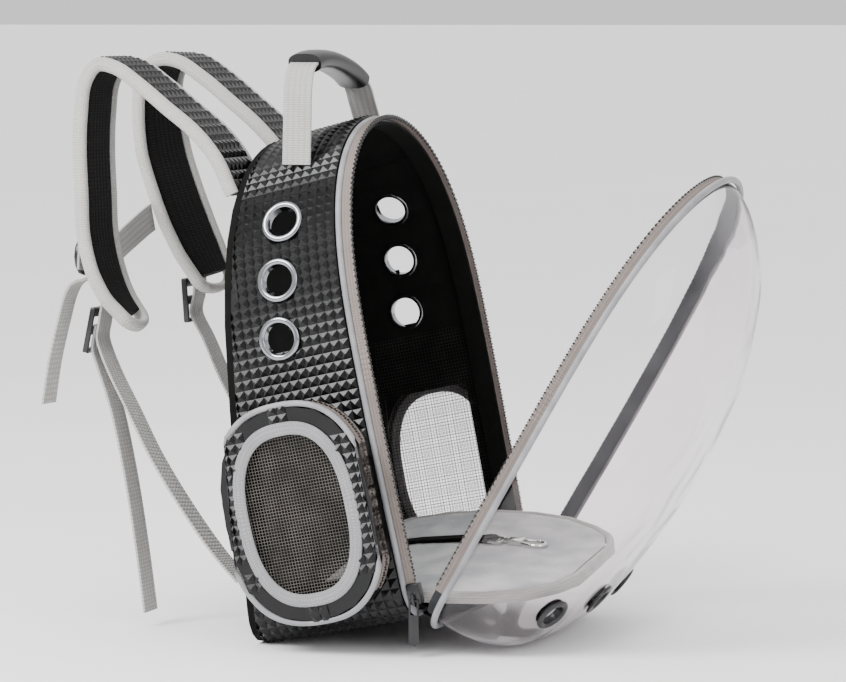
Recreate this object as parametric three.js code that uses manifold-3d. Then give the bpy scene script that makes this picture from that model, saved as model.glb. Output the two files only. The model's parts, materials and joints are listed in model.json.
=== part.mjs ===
// Bubble pet carrier backpack with its clear door open, as it stands on a table.
// Millimetres, +Z up. The front and the door face -Y, the shoulder straps +Y, the left side is -X.
// The origin is under the middle of its box, on the table.
import * as THREE from 'three';
import Module from 'manifold-3d';

const wasm = await Module();
wasm.setup();

// Carrier shell: the outline of its front rim, flat at the bottom and arched at the top
const HEIGHT = 420;
const HALF_BASE = 144;
const HALF_WAIST = 150;
const WAIST_UP = 199;
const CORNER_OUT = 26;
const CORNER_UP = 30;
const ARCH_SIDE = 1.96;
const ARCH_TOP = 3.05;
const SEAM_ANGLE = 50;
const DEPTH = 149;
const TAPER = 7.5;
const LEAN = 11.75;
const FOOT_BACK = 34.7;
const WALL = 3;
const BACK_THICK = 6;

// Rim, zip and door
const OPENING = 41.9;
const HINGE_GAP = 4;
const PIPING = 5.6;
const TAPE_WIDE = 8;
const TAPE_THICK = 1.6;
const BINDING_WIDE = 13;
const BINDING_THICK = 2;
const HINGE_THICK = 1.8;
const HINGE_LAP = 3;
const HINGE_LIFT = 1.2;
const DOME_DEPTH = 105.5;
const DOME_WALL = 1.6;
const DOME_FULL_UP = 144;
const DOME_BOX = 3.2;
const DOME_FOOT_CURVE = 0.13;
const DOME_CROWN_CURVE = 2.83;
const DOME_CROWN_EASE = 0.84;

// Vents
const GROMMET_HOLE = 26;
const GROMMET_WIDE = 37;
const GROMMET_RIM = 2.4;
const VENT_HOLE = 19;
const VENT_WIDE = 31;
const VENT_RIM = 2;
const VENT_THROUGH = 3.2;
const VENT_STAND = 0.4;
const EYELET_LIP = 1.4;
const EYELET_CURL = 1.8;
const EYELET_IN = 2;
const BORE_CLEAR = 2;

// Side pockets
const POCKET_FRONT = 0.5;
const POCKET_BACK = 13;
const POCKET_LONG = DEPTH - POCKET_FRONT - POCKET_BACK;
const POCKET_TALL = 182;
const POCKET_MID = (DEPTH - POCKET_FRONT + POCKET_BACK) / 2;
const POCKET_UP = 105;
const POCKET_OUT = 30;
const POCKET_CLOTH = 2;
const POCKET_SHAPE = 2.5;
const POCKET_DRAFT = 2;
const WINDOW_RIM = 14.5;
const WINDOW_BINDING = 11;
const WINDOW_BINDING_THICK = 1.5;
const WINDOW_LAP = 3;
const MESH_THICK = 1;
const POCKET_CORD = 5;
const POCKET_TAPE_WIDE = 14;
const POCKET_TAPE_THICK = 1.4;
const POCKET_PULL_WIDE = 6;
const POCKET_PULL_TALL = 42;
const POCKET_PULL_THICK = 2.4;

// Webbing, handle and shoulder straps
const WEBBING = 25;
const WEBBING_THICK = 2;
const HANDLE_SPREAD = 95;
const HANDLE_RISE = 89;
const HANDLE_FORWARD = 104;
const HANDLE_STAND = 2.7;
const GRIP_THICK = 17;
const GRIP_WIDE = 30;
const STRAP_WIDE = 65;
const STRAP_THICK = 10;
const STRAP_APART = 72;
const STRAP_DROP = 36;
const BACK_TOUCH = 0.1;
const STRAP_REACH = 142;
const STRAP_RISE = 104;
const STRAP_EDGE = 8;
const STRAP_EDGE_PROUD = 1;
const STRAP_TIP = 14;
const LOCK_LONG = 40;
const LOCK_THICK = 5;
const LOCK_RAIL = 4;
const OVAL_WIDE = 32;
const OVAL_TALL = 34;
const OVAL_THICK = 4.6;

// Zip slider and its pull
const SLIDER_WIDE = 9;
const SLIDER_OUT = 11;
const SLIDER_LONG = 17;
const PULL_LONG = 39;
const PULL_WIDE = 9;
const PULL_THICK = 1.6;
const PULL_EYE = 5.6;

// Mat, tether and snap hook
const MAT_SIDE = 16;
const MAT_LIFT = 46;
const MAT_RISE = 38;
const MAT_LONG = 228;
const MAT_BACK = 40;
const MAT_THICK = 9;
const MAT_EDGE = 7;
const TETHER_WIDE = 12;
const TETHER_THICK = 1.2;
const TETHER_AT = 25;
const HOOK_FORWARD = 172;
const HOOK_THICK = 5;
const HOOK_WIRE = 3.2;
const HOOK_EYE = 18;
const HOOK_BODY = 9;
const HOOK_LOOP = 14;
const GATE_THICK = 2;
const GATE_WIDE = 2.6;

const GAP = 0.3;
const SEAM_GAP = 0.5;

const degrees = (angle) => (angle * Math.PI) / 180;
const vec = (x, y, z) => new THREE.Vector3(x, y, z);
const mix = THREE.MathUtils.lerp;
const steps = (count, from = 0, to = 1) =>
  Array.from({ length: count + 1 }, (_, k) => mix(from, to, k / count));

// Materials
function finish(color, roughness, metalness = 0, opacity = 1) {
  return new THREE.MeshStandardMaterial({ color, roughness, metalness, opacity, transparent: opacity < 1 });
}
const FINISH = {
  leatherette: finish('#1b1b1d', 0.3),
  black: finish('#141414', 0.75),
  mesh: finish('#2b2b2b', 0.9),
  grey: finish('#b5b3b2', 0.85),
  piping: finish('#8f8f92', 0.6),
  tape: finish('#8d827c', 0.8),
  felt: finish('#9a9a9c', 0.9),
  charcoal: finish('#3a3b3f', 0.95),
  clear: finish('#f4eff2', 0.05, 0, 0.3),
  steel: finish('#c8c8cc', 0.2, 1),
  plastic: finish('#161616', 0.4),
  fleece: finish('#bcbdbb', 0.95),
};

// Bodies from points and polygons

// A closed geometry. Points that fall together are merged, empty faces dropped, and faces turned out.
function closedBody(points, polygons) {
  const places = new Map();
  const position = [];
  const index = points.map((point) => {
    const key = point.toArray().map((value) => Math.round(value * 1e4)).join();
    if (!places.has(key)) {
      places.set(key, position.length / 3);
      position.push(...point.toArray());
    }
    return places.get(key);
  });
  const faces = [];
  for (const polygon of polygons) {
    const corners = polygon.map((k) => index[k]).filter((c, k, all) => c !== all[(k + 1) % all.length]);
    for (let k = 1; k + 1 < corners.length; k++) {
      const face = [corners[0], corners[k], corners[k + 1]];
      if (new Set(face).size === 3) faces.push(...face);
    }
  }
  const geometry = new THREE.BufferGeometry();
  geometry.setAttribute('position', new THREE.Float32BufferAttribute(position, 3));
  geometry.setIndex(signedVolume(position, faces) < 0 ? faces.reverse() : faces);
  return geometry;
}

function signedVolume(position, faces) {
  const point = (k) => vec(...position.slice(3 * k, 3 * k + 3));
  let total = 0;
  for (let k = 0; k < faces.length; k += 3) {
    total += point(faces[k]).dot(point(faces[k + 1]).cross(point(faces[k + 2])));
  }
  return total;
}

// A wall between two grids of points, rows by columns. A wrapped one closes along its columns.
function wall(outer, inner, wrapped = false) {
  const rows = outer.length;
  const columns = outer[0].length;
  const at = (side, i, j) => (side * rows + i) * columns + (j % columns);
  const last = wrapped ? columns : columns - 1;
  const polygons = [];
  for (let j = 0; j < last; j++) {
    for (let i = 0; i + 1 < rows; i++) {
      polygons.push([at(0, i, j), at(0, i, j + 1), at(0, i + 1, j + 1), at(0, i + 1, j)]);
      polygons.push([at(1, i, j), at(1, i + 1, j), at(1, i + 1, j + 1), at(1, i, j + 1)]);
    }
    polygons.push([at(0, 0, j + 1), at(0, 0, j), at(1, 0, j), at(1, 0, j + 1)]);
    polygons.push([at(0, rows - 1, j), at(0, rows - 1, j + 1), at(1, rows - 1, j + 1), at(1, rows - 1, j)]);
  }
  for (let i = 0; i + 1 < rows && !wrapped; i++) {
    polygons.push([at(0, i, 0), at(0, i + 1, 0), at(1, i + 1, 0), at(1, i, 0)]);
    polygons.push([at(0, i + 1, last), at(0, i, last), at(1, i, last), at(1, i + 1, last)]);
  }
  return closedBody([...outer.flat(), ...inner.flat()], polygons);
}

// A solid through rings of points. A hoop joins its last ring to its first, an open one has flat ends.
function loft(rings, hoop = false) {
  const count = rings[0].length;
  const at = (i, j) => (i % rings.length) * count + (j % count);
  const polygons = [];
  for (let i = 0; i < rings.length - (hoop ? 0 : 1); i++) {
    for (let j = 0; j < count; j++) polygons.push([at(i, j), at(i, j + 1), at(i + 1, j + 1), at(i + 1, j)]);
  }
  if (!hoop) {
    const ring = steps(count - 1, 0, count - 1).map(Math.round);
    polygons.push(ring.map((j) => at(0, count - 1 - j)), ring.map((j) => at(rings.length - 1, j)));
  }
  return closedBody(rings.flat(), polygons);
}

// A section carried along frames, each with a point and two directions across the path
function sweep(frames, section, hoop = false) {
  const rings = frames.map(({ at, u, w }) =>
    section.map(([a, b]) => at.clone().addScaledVector(u, a).addScaledVector(w, b)));
  return loft(rings, hoop);
}

const bar = (wide, thick) => [[-wide / 2, -thick / 2], [wide / 2, -thick / 2], [wide / 2, thick / 2],
  [-wide / 2, thick / 2]];
const rod = (across, sides) => steps(sides - 1, 0, sides - 1).map((k) => {
  const angle = (2 * Math.PI * k) / sides;
  return [(across / 2) * Math.cos(angle), (across / 2) * Math.sin(angle)];
});
// A flat section with rounded edges
const padded = (wide, thick) => {
  const edge = wide / 2 - thick / 3;
  return [[-wide / 2, 0], [-edge, -thick / 2], [edge, -thick / 2], [wide / 2, 0], [edge, thick / 2],
    [-edge, thick / 2]];
};

// A box between two corners, and a plate cut to a shape in the XZ plane, thick along -Y
function block(low, high) {
  const size = high.clone().sub(low);
  const centre = low.clone().add(high).divideScalar(2);
  return new THREE.BoxGeometry(size.x, size.y, size.z).translate(centre.x, centre.y, centre.z);
}
function plate(points, thick) {
  const shape = new THREE.Shape(points.map(([x, z]) => new THREE.Vector2(x, z)));
  return new THREE.ExtrudeGeometry(shape, { depth: thick, bevelEnabled: false }).rotateX(Math.PI / 2);
}
// A ring turned about +Z from a closed profile of radius and height
function turned(profile, sides) {
  const points = [...profile, profile[0]].reverse().map(([r, h]) => new THREE.Vector2(r, h));
  return new THREE.LatheGeometry(points, sides);
}

// Booleans
function asSolid(geometry) {
  const flat = geometry.index ? geometry.toNonIndexed() : geometry;
  const source = flat.getAttribute('position');
  const points = steps(source.count - 1, 0, source.count - 1).map((k) =>
    new THREE.Vector3().fromBufferAttribute(source, Math.round(k)));
  const starts = steps(source.count / 3 - 1, 0, source.count - 3).map(Math.round);
  const triangles = starts.map((k) => [k, k + 1, k + 2]);
  const body = closedBody(points, triangles);
  const vertProperties = new Float32Array(body.getAttribute('position').array);
  const triVerts = new Uint32Array(body.index.array);
  return new wasm.Manifold(new wasm.Mesh({ numProp: 3, vertProperties, triVerts }));
}
function asGeometry(solid) {
  const mesh = solid.getMesh();
  const geometry = new THREE.BufferGeometry();
  geometry.setAttribute('position', new THREE.BufferAttribute(mesh.vertProperties, 3));
  geometry.setIndex(new THREE.BufferAttribute(mesh.triVerts, 1));
  return geometry;
}
const joined = ([first, ...rest]) =>
  asGeometry(rest.reduce((solid, next) => solid.add(asSolid(next)), asSolid(first)));
const cut = (geometry, tools) =>
  asGeometry(tools.reduce((solid, tool) => solid.subtract(asSolid(tool)), asSolid(geometry)));

// Outline of the rim

// Half width of the outline at a height
function halfWidth(up) {
  if (up < CORNER_UP) return HALF_BASE - CORNER_OUT * (1 - Math.sqrt(1 - (1 - up / CORNER_UP) ** 2));
  if (up < WAIST_UP) {
    const share = (up - CORNER_UP) / (WAIST_UP - CORNER_UP);
    return HALF_BASE + (HALF_WAIST - HALF_BASE) * Math.sin((Math.PI / 2) * share);
  }
  const rise = ((up - WAIST_UP) / (HEIGHT - WAIST_UP)) ** (ARCH_TOP / 2);
  return HALF_WAIST * Math.cos(Math.asin(Math.min(1, rise))) ** (2 / ARCH_SIDE);
}

const archPoint = (angle) => [
  HALF_WAIST * Math.max(0, Math.cos(angle)) ** (2 / ARCH_SIDE),
  WAIST_UP + (HEIGHT - WAIST_UP) * Math.sin(angle) ** (2 / ARCH_TOP)];

// The right half in three stretches that share their end points, as pairs of width and height
const FLAT = HALF_BASE - CORNER_OUT;
const SEAM = degrees(SEAM_ANGLE);
const BASE_HALF = [[0, 0], [FLAT, 0]];
const SIDE_HALF = [
  ...steps(4, 0, Math.PI / 2).map((a) => [FLAT + CORNER_OUT * Math.sin(a), CORNER_UP * (1 - Math.cos(a))]),
  ...steps(5, CORNER_UP, WAIST_UP).slice(1).map((up) => [halfWidth(up), up]),
  ...steps(5, 0, SEAM).slice(1).map(archPoint)];
const TOP_HALF = steps(7, SEAM, Math.PI / 2).map(archPoint);
const CORNER_STEPS = 4;

const mirrored = (points) => points.map(([x, z]) => [-x, z]).reverse();
const RING = [...BASE_HALF.slice(1), ...SIDE_HALF.slice(1), ...TOP_HALF.slice(1, -1),
  ...mirrored([...SIDE_HALF, ...TOP_HALF.slice(1)]).slice(0, -1), ...mirrored(BASE_HALF).slice(0, 1)];

// Frames along a run of outline points: u points out of the shape, w along +Y
function outlineFrames(points, inset, y, closed) {
  const at = (k) => points[(k + points.length) % points.length];
  return points.map(([x, z], k) => {
    const before = closed || k > 0 ? at(k - 1) : at(k);
    const after = closed || k + 1 < points.length ? at(k + 1) : at(k);
    const out = vec(after[1] - before[1], 0, before[0] - after[0]).normalize();
    return { at: vec(x, y, z).addScaledVector(out, -inset), u: out, w: vec(0, 1, 0) };
  });
}

// Both zips start above one bottom corner and run round the top to the other
const ZIP_RUN = [...SIDE_HALF.slice(CORNER_STEPS), ...TOP_HALF.slice(1, -1),
  ...mirrored([...SIDE_HALF.slice(CORNER_STEPS), ...TOP_HALF.slice(1)])];

// Shell surface: a straight line from the back plane to the rim plane at each outline point
const BACK_TURN = new THREE.Matrix4().makeRotationX(degrees(TAPER));
const PANEL_FRONT = DEPTH - PIPING - GAP;

function outwardAt(x, z) {
  const reach = 2;
  const side = Math.sign(x) || 1;
  const before = z > reach ? halfWidth(z - reach) : halfWidth(0);
  const after = halfWidth(Math.min(z + reach, HEIGHT));
  return vec(side * (Math.min(z + reach, HEIGHT) - Math.max(z - reach, 0)), 0, before - after).normalize();
}

const ontoBack = (x, z) => vec(x, -BACK_THICK - GAP, z).applyMatrix4(BACK_TURN);
const ontoRim = (x, z) => vec(x, -PANEL_FRONT, z);

// A point of the side wall: forward is its distance from the back plane's foot, in is under the skin
function skin(side, forward, up, inwards) {
  const out = outwardAt(side * halfWidth(up), up);
  const flat = vec(side * halfWidth(up), 0, up).addScaledVector(out, -inwards);
  const back = ontoBack(flat.x, flat.z);
  const rim = ontoRim(flat.x, flat.z);
  return back.lerp(rim, (forward + back.y) / (PANEL_FRONT + back.y));
}

// Carrier shell

// A panel along a run of the outline, with its two ends drawn back for the seams
function panel(points) {
  const run = points.map(([x, z]) => vec(x, 0, z));
  const trim = (end, next) => {
    const share = SEAM_GAP / run.at(end).distanceTo(run.at(next));
    run.at(end).lerp(run.at(next).clone(), share);
  };
  trim(0, 1);
  trim(-1, -2);
  const frames = outlineFrames(run.map((p) => [p.x, p.z]), 0, 0, false);
  const layer = (inset) => frames.map(({ at, u }) => {
    const p = at.clone().addScaledVector(u, -inset);
    return [ontoBack(p.x, p.z), ontoRim(p.x, p.z)];
  });
  return wall(layer(0), layer(WALL));
}

// Vents in the side wall, from the top: how far from the back plane's foot and how far up the rim,
// as shares of the depth and the height
const GROMMETS = [[0.6443, 0.8214], [0.5973, 0.7095], [0.557, 0.5952]].map(([forward, up]) =>
  ({ forward: forward * DEPTH, up: up * HEIGHT }));
// The opening behind the pocket, drawn in from the pocket's outline, and the lining net that covers it
const OPENING_IN = { back: 21, front: 22.5, low: 30, high: 20 };
const OPENING_BOX = {
  back: POCKET_MID - POCKET_LONG / 2 + OPENING_IN.back,
  front: POCKET_MID + POCKET_LONG / 2 - OPENING_IN.front,
  low: POCKET_UP - POCKET_TALL / 2 + OPENING_IN.low,
  high: POCKET_UP + POCKET_TALL / 2 - OPENING_IN.high };
const LINING_LAP = { along: 12, low: 10, vent: 3.5 };
const LINING_BOX = {
  back: OPENING_BOX.back - LINING_LAP.along,
  front: OPENING_BOX.front + LINING_LAP.along,
  low: OPENING_BOX.low - LINING_LAP.low,
  high: GROMMETS.at(-1).up - GROMMET_WIDE / 2 - LINING_LAP.vent };

const EYELET = (hole, wide, rim, through, grow = 0) => {
  const inner = hole / 2 - grow;
  const lip = hole / 2 + EYELET_LIP + grow;
  const flange = wide / 2 + grow;
  return [[inner, rim + grow], [flange, -grow], [lip, -grow], [lip, -through + grow],
    [flange - EYELET_IN + grow, -through + grow], [inner, -through - EYELET_CURL - grow]];
};
const EYELET_SIDES = 12;

function placedOn(geometry, at, out) {
  return geometry.applyQuaternion(new THREE.Quaternion().setFromUnitVectors(vec(0, 0, 1), out))
    .translate(at.x, at.y, at.z);
}
const sideways = (geometry) => geometry.rotateX(Math.PI / 2);

function grommet(side, { forward, up }, grow = 0) {
  const out = outwardAt(side * halfWidth(up), up);
  const stand = GAP + SEAM_GAP;
  const profile = EYELET(GROMMET_HOLE, GROMMET_WIDE, GROMMET_RIM, WALL + 2 * stand, grow);
  const ring = sideways(turned(profile, EYELET_SIDES));
  return placedOn(ring, skin(side, forward, up, -stand), out);
}
function grommetBore(side, { forward, up }) {
  const across = GROMMET_HOLE / 2 + BORE_CLEAR;
  const round = new THREE.CylinderGeometry(across, across, 6 * WALL, EYELET_SIDES);
  return placedOn(sideways(round), skin(side, forward, up, WALL / 2), outwardAt(side * halfWidth(up), up));
}

// A patch that lies along the side wall, between two depths under its skin
function patch(side, { back, front, low, high }, under, thick, rows, columns) {
  const layer = (inwards) => steps(rows, low, high).map((up) =>
    steps(columns, back, front).map((forward) =>
      skin(side, Math.max(forward, backFoot(up) + back / 2), up, inwards)));
  return wall(layer(under), layer(under + thick));
}
const backFoot = (up) => -ontoBack(0, up).y;

function sidePanel(side) {
  const solid = panel(side > 0 ? SIDE_HALF : mirrored(SIDE_HALF));
  const window = patch(side, OPENING_BOX, -2 * WALL, 5 * WALL, 4, 3);
  const vents = GROMMETS.flatMap((place) => [grommetBore(side, place), grommet(side, place, GAP)]);
  return cut(solid, [window, ...vents]);
}

function backPanel() {
  return plate(RING, BACK_THICK).applyMatrix4(BACK_TURN);
}

// Side pockets

// A point of the pocket: round is the angle about its middle, drawn is how far inside its outline
function pocketPoint(side, round, drawn, out) {
  const power = 2 / POCKET_SHAPE;
  const bend = (value) => Math.sign(value) * Math.abs(value) ** power;
  const forward = POCKET_MID + (POCKET_LONG / 2 - drawn) * bend(Math.cos(round));
  const up = POCKET_UP + (POCKET_TALL / 2 - drawn) * bend(Math.sin(round));
  return skin(side, forward, up, -GAP).add(vec(side * out, 0, 0));
}
const ROUND = steps(22, 0, 2 * Math.PI).slice(0, -1);
const POCKET_SIDE = vec(1, 0, 0);
const pocketLoop = (side, drawn, out) => ROUND.map((round) => pocketPoint(side, round, drawn, out));

const GUSSET_OUT = POCKET_OUT - POCKET_CLOTH - 2 * GAP;
const gussetDrawn = (out) => (POCKET_DRAFT * out) / GUSSET_OUT;

function pocketGusset(side) {
  const layer = (inside) => [0, GUSSET_OUT].map((out) => pocketLoop(side, gussetDrawn(out) + inside, out));
  return wall(layer(0), layer(POCKET_CLOTH), true);
}
function pocketRing(side, from, to, out, thick) {
  const layer = (height) => [from, to].map((drawn) => pocketLoop(side, drawn, height));
  return wall(layer(out), layer(out - thick), true);
}
const WINDOW_AT = POCKET_DRAFT + WINDOW_RIM;

function pocketWindow(side) {
  const shares = [0, 1];
  const layer = (height) => shares.map((share) => {
    const loop = pocketLoop(side, WINDOW_AT - WINDOW_LAP, height);
    const middle = skin(side, POCKET_MID, POCKET_UP, -GAP).add(vec(side * height, 0, 0));
    return loop.map((point) => point.lerp(middle, share));
  });
  return wall(layer(GUSSET_OUT), layer(GUSSET_OUT - MESH_THICK), true);
}
// Frames round the pocket: u is away from its middle, w along its depth
function pocketFrames(side, drawn, out, run) {
  return run.map((round) => {
    const at = pocketPoint(side, round, drawn, out);
    const away = pocketPoint(side, round, drawn - 1, out).sub(at).normalize();
    return { at, u: away, w: POCKET_SIDE };
  });
}
const pocketPiping = (side) => {
  const frames = pocketFrames(side, POCKET_DRAFT - POCKET_CORD / 2 - GAP, POCKET_OUT - 1, ROUND);
  return sweep(frames, rod(POCKET_CORD, 5), true);
};
// The zip lies on the gusset, round the pocket from below its front corner to below its back one
function pocketZip(side) {
  const run = steps(15, -3, 12).map((k) => (k * 2 * Math.PI) / ROUND.length);
  const edges = [-1, 1].map((edge) => (POCKET_OUT + edge * POCKET_TAPE_WIDE) / 2 - 1);
  const layer = (off) => edges.map((out) => run.map((round) =>
    pocketPoint(side, round, gussetDrawn(out) - off, out)));
  return wall(layer(GAP + POCKET_TAPE_THICK), layer(GAP));
}
// The pocket's pull lies flat on the zip's back end
function pocketPull(side) {
  const out = POCKET_OUT / 2;
  const off = 2 * GAP + POCKET_TAPE_THICK + POCKET_PULL_THICK / 2;
  const at = pocketPoint(side, Math.PI, gussetDrawn(out) - off, out);
  const half = vec(POCKET_PULL_WIDE, POCKET_PULL_THICK, POCKET_PULL_TALL).divideScalar(2);
  return block(at.clone().sub(half), at.clone().add(half));
}

// Rim of the shell and its zip

const rimPiping = () =>
  sweep(outlineFrames(RING, PIPING / 2, -DEPTH + PIPING / 2, true), rod(PIPING, 5), true);
const rimTape = () =>
  sweep(outlineFrames(ZIP_RUN, PIPING / 2, -DEPTH - GAP - TAPE_WIDE / 2, false), bar(TAPE_THICK, TAPE_WIDE));
const rimBinding = () => sweep(
  outlineFrames(RING, WALL + PIPING / 2 + GAP + BINDING_THICK / 2, -DEPTH + BINDING_WIDE / 2, true),
  bar(BINDING_THICK, BINDING_WIDE), true);

// Door: its own frame has the rim in the XZ plane, the hinge line on X and the bulge towards -Y

const LIP = TAPE_WIDE + 2 * GAP;
const LIP_INSET = 1.9;

// How far the bulge stands from the lip at a height
function bulge(up, depth) {
  if (up < DOME_FULL_UP) return depth * (Math.max(0, up) / DOME_FULL_UP) ** DOME_FOOT_CURVE;
  const share = (up - DOME_FULL_UP) / (HEIGHT - DOME_FULL_UP);
  return depth * (1 - Math.min(1, share) ** DOME_CROWN_CURVE) ** DOME_CROWN_EASE;
}
const DOME_ROWS = [0, 0.003, 0.02, 0.07, 0.15, 0.25, 0.36, 0.48, 0.6, 0.71, 0.8, 0.87, 0.925, 0.965, 0.988,
  1];
const DOME_COLUMNS = 14;

function domePoint(share, turn, inside) {
  const tall = HEIGHT - 2 * (LIP_INSET / 2 + inside);
  const wide = Math.max(0, halfWidth(share * HEIGHT) - LIP_INSET / 2 - inside);
  const deep = Math.max(0, bulge(share * HEIGHT, DOME_DEPTH - LIP) - inside);
  const bend = (value) => Math.sign(value) * Math.abs(value) ** (2 / DOME_BOX);
  const up = LIP_INSET / 2 + inside + share * tall;
  return vec(wide * bend(Math.cos(turn)), -LIP - deep * bend(Math.sin(turn)), up);
}
const domeLayer = (inside) => DOME_ROWS.map((share) =>
  steps(DOME_COLUMNS, 0, Math.PI).map((turn) => domePoint(share, share === 1 ? 0 : turn, inside)));

// Vent rings low on the bulge, as shares of the height and turns round the section
const DOME_VENTS = [{ share: 0.125, turn: 121 }, { share: 0.135, turn: 90 }, { share: 0.125, turn: 59 }];

function ventFrame({ share, turn }) {
  const at = domePoint(share, degrees(turn), 0);
  const upwards = domePoint(share + 0.02, degrees(turn), 0).sub(at);
  const across = domePoint(share, degrees(turn + 4), 0).sub(at);
  const out = across.cross(upwards).normalize();
  return { at, out: out.y > 0 ? out.negate() : out };
}
function domeVent(vent, grow = 0) {
  const { at, out } = ventFrame(vent);
  const profile = EYELET(VENT_HOLE, VENT_WIDE, VENT_RIM, DOME_WALL + VENT_THROUGH, grow);
  const ring = sideways(turned(profile, EYELET_SIDES));
  return placedOn(ring, at.addScaledVector(out, GAP + VENT_STAND), out);
}
function domeBore(vent) {
  const { at, out } = ventFrame(vent);
  const across = VENT_HOLE / 2 + BORE_CLEAR;
  const long = 2 * (DOME_WALL + VENT_THROUGH + EYELET_CURL);
  return placedOn(sideways(new THREE.CylinderGeometry(across, across, long, EYELET_SIDES)), at, out);
}
const dome = () => cut(wall(domeLayer(0), domeLayer(DOME_WALL)),
  DOME_VENTS.flatMap((vent) => [domeBore(vent), domeVent(vent, GAP)]));

const domeTape = () =>
  sweep(outlineFrames(ZIP_RUN, LIP_INSET, -GAP - TAPE_WIDE / 2, false), bar(TAPE_THICK, TAPE_WIDE));
const domeBinding = () => sweep(
  outlineFrames(RING, LIP_INSET + TAPE_THICK / 2 + GAP + BINDING_THICK / 2, -LIP / 2, true),
  bar(BINDING_THICK, LIP - 2 * GAP), true);
const domePiping = () =>
  sweep(outlineFrames(RING, -PIPING / 2, -LIP - PIPING / 2, true), rod(PIPING, 5), true);

// The cloth hinge, bent from the bottom of the rim to the bottom of the door
function hingeStrip() {
  const turn = degrees(OPENING);
  const door = (out, up) => [
    DEPTH + HINGE_GAP + out * Math.cos(turn) + up * Math.sin(turn),
    up * Math.cos(turn) - out * Math.sin(turn)];
  const run = [[DEPTH + GAP, PIPING / 2], [DEPTH + HINGE_GAP / 2, PIPING / 3],
    door(HINGE_LAP, HINGE_LIFT), door(LIP - GAP, HINGE_LIFT)];
  const layer = (drop) => [-FLAT, FLAT].map((x) => run.map(([forward, z]) => vec(x, -forward, z - drop)));
  return wall(layer(0), layer(HINGE_THICK));
}

// Main slider at the foot of the left zip: a body with a bridge on its outer side, low down, for the pull's eye
const SLIDER_AT = vec(-halfWidth(CORNER_UP) + PIPING / 2, -DEPTH - GAP, CORNER_UP - GAP);
const BRIDGE = { wide: 2.6, open: 3, thick: 1.6, foot: 1.8, tall: 9, sunk: 1 };

function mainSlider() {
  const { wide, open, thick, foot, tall, sunk } = BRIDGE;
  const middle = -SLIDER_OUT / 2;
  const box = (from, to, half, low, high) =>
    block(vec(-to, middle - half, low).add(SLIDER_AT), vec(-from, middle + half, high).add(SLIDER_AT));
  const face = SLIDER_WIDE / 2;
  const end = face + open + thick;
  const low = -SLIDER_LONG;
  return joined([
    box(-face, face, SLIDER_OUT / 2, low, 0),
    box(face - sunk, end, wide / 2, low, low + foot),
    box(face - sunk, end, wide / 2, low + tall - foot, low + tall),
    box(end - thick, end, wide / 2, low, low + tall)]);
}
// The pull hangs by the bar over its eye, which is its own origin
const PULL_UP = BRIDGE.foot + 2 * GAP + PULL_THICK / 2 - SLIDER_LONG;
const PULL_AT = vec(-(SLIDER_WIDE + BRIDGE.open) / 2 - 0.2, -SLIDER_OUT / 2, PULL_UP).add(SLIDER_AT);

function mainPull() {
  const half = PULL_WIDE / 2;
  const top = PULL_THICK / 2;
  const round = steps(6, Math.PI, 2 * Math.PI).map((a) => [
    half * Math.cos(a), top - PULL_LONG + half + half * Math.sin(a)]);
  const body = plate([[half, top], [-half, top], ...round].reverse(), PULL_THICK).translate(0, top, 0);
  const eye = vec(PULL_EYE / 2, PULL_THICK, PULL_EYE);
  return cut(body, [block(eye.clone().negate(), eye).translate(0, 0, -top - PULL_EYE)])
    .rotateZ(Math.PI / 2);
}

// Top handle: a webbing loop on the seams and a padded grip round its middle
// Shares of the spread and the rise, from the left end
const HANDLE = [
  { across: -1.0, rise: 0.02 }, { across: -0.98, rise: 0.4 }, { across: -0.95, rise: 0.78 },
  { across: -0.88, rise: 0.93 }, { across: -0.72, rise: 0.99 }, { across: -0.4, rise: 1.0 },
  { across: 0, rise: 0.93 }, { across: 0.3, rise: 0.83 }, { across: 0.48, rise: 0.72 },
  { across: 0.58, rise: 0.58 }, { across: 0.75, rise: 0.34 }, { across: 0.98, rise: 0.02 }];
const HANDLE_STEPS = 26;
const SEAM_UP = archPoint(SEAM)[1];

function handleFrames(from, to, count) {
  const foot = vec(0, -HANDLE_FORWARD, SEAM_UP).applyMatrix4(TILT);
  const points = HANDLE.map(({ across, rise }) =>
    vec(across * HANDLE_SPREAD, foot.y, foot.z + HANDLE_STAND + rise * HANDLE_RISE));
  return pathFrames(new THREE.CatmullRomCurve3(points), steps(count, from, to), vec(0, 1, 0));
}
// Frames along a curve: u keeps near a given direction, w is the other way across
function pathFrames(curve, shares, across, twist = () => 0) {
  return shares.map((share) => {
    const at = curve.getPointAt(share);
    const along = curve.getTangentAt(share);
    const u = across.clone().addScaledVector(along, -across.dot(along)).normalize();
    u.applyAxisAngle(along, twist(share));
    return { at, u, w: along.clone().cross(u) };
  });
}
const handleWebbing = () => sweep(handleFrames(0, 1, HANDLE_STEPS), bar(WEBBING, WEBBING_THICK));
const GRIP_FROM = 8;
const GRIP_TO = 18;
function handleGrip() {
  const frames = handleFrames(GRIP_FROM / HANDLE_STEPS, GRIP_TO / HANDLE_STEPS, GRIP_TO - GRIP_FROM);
  const layer = (section) => frames.map(({ at, u, w }) =>
    section.map(([p, q]) => at.clone().addScaledVector(u, p).addScaledVector(w, q)));
  const slot = [WEBBING + 2 * GAP, WEBBING_THICK + 2 * GAP];
  const outside = padded(GRIP_WIDE, GRIP_THICK);
  const [a, b] = slot.map((size) => size / 2);
  const inside = [[-a, 0], [-a, -b], [a, -b], [a, 0], [a, b], [-a, b]];
  return wall(layer(outside), layer(inside), true);
}

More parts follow.
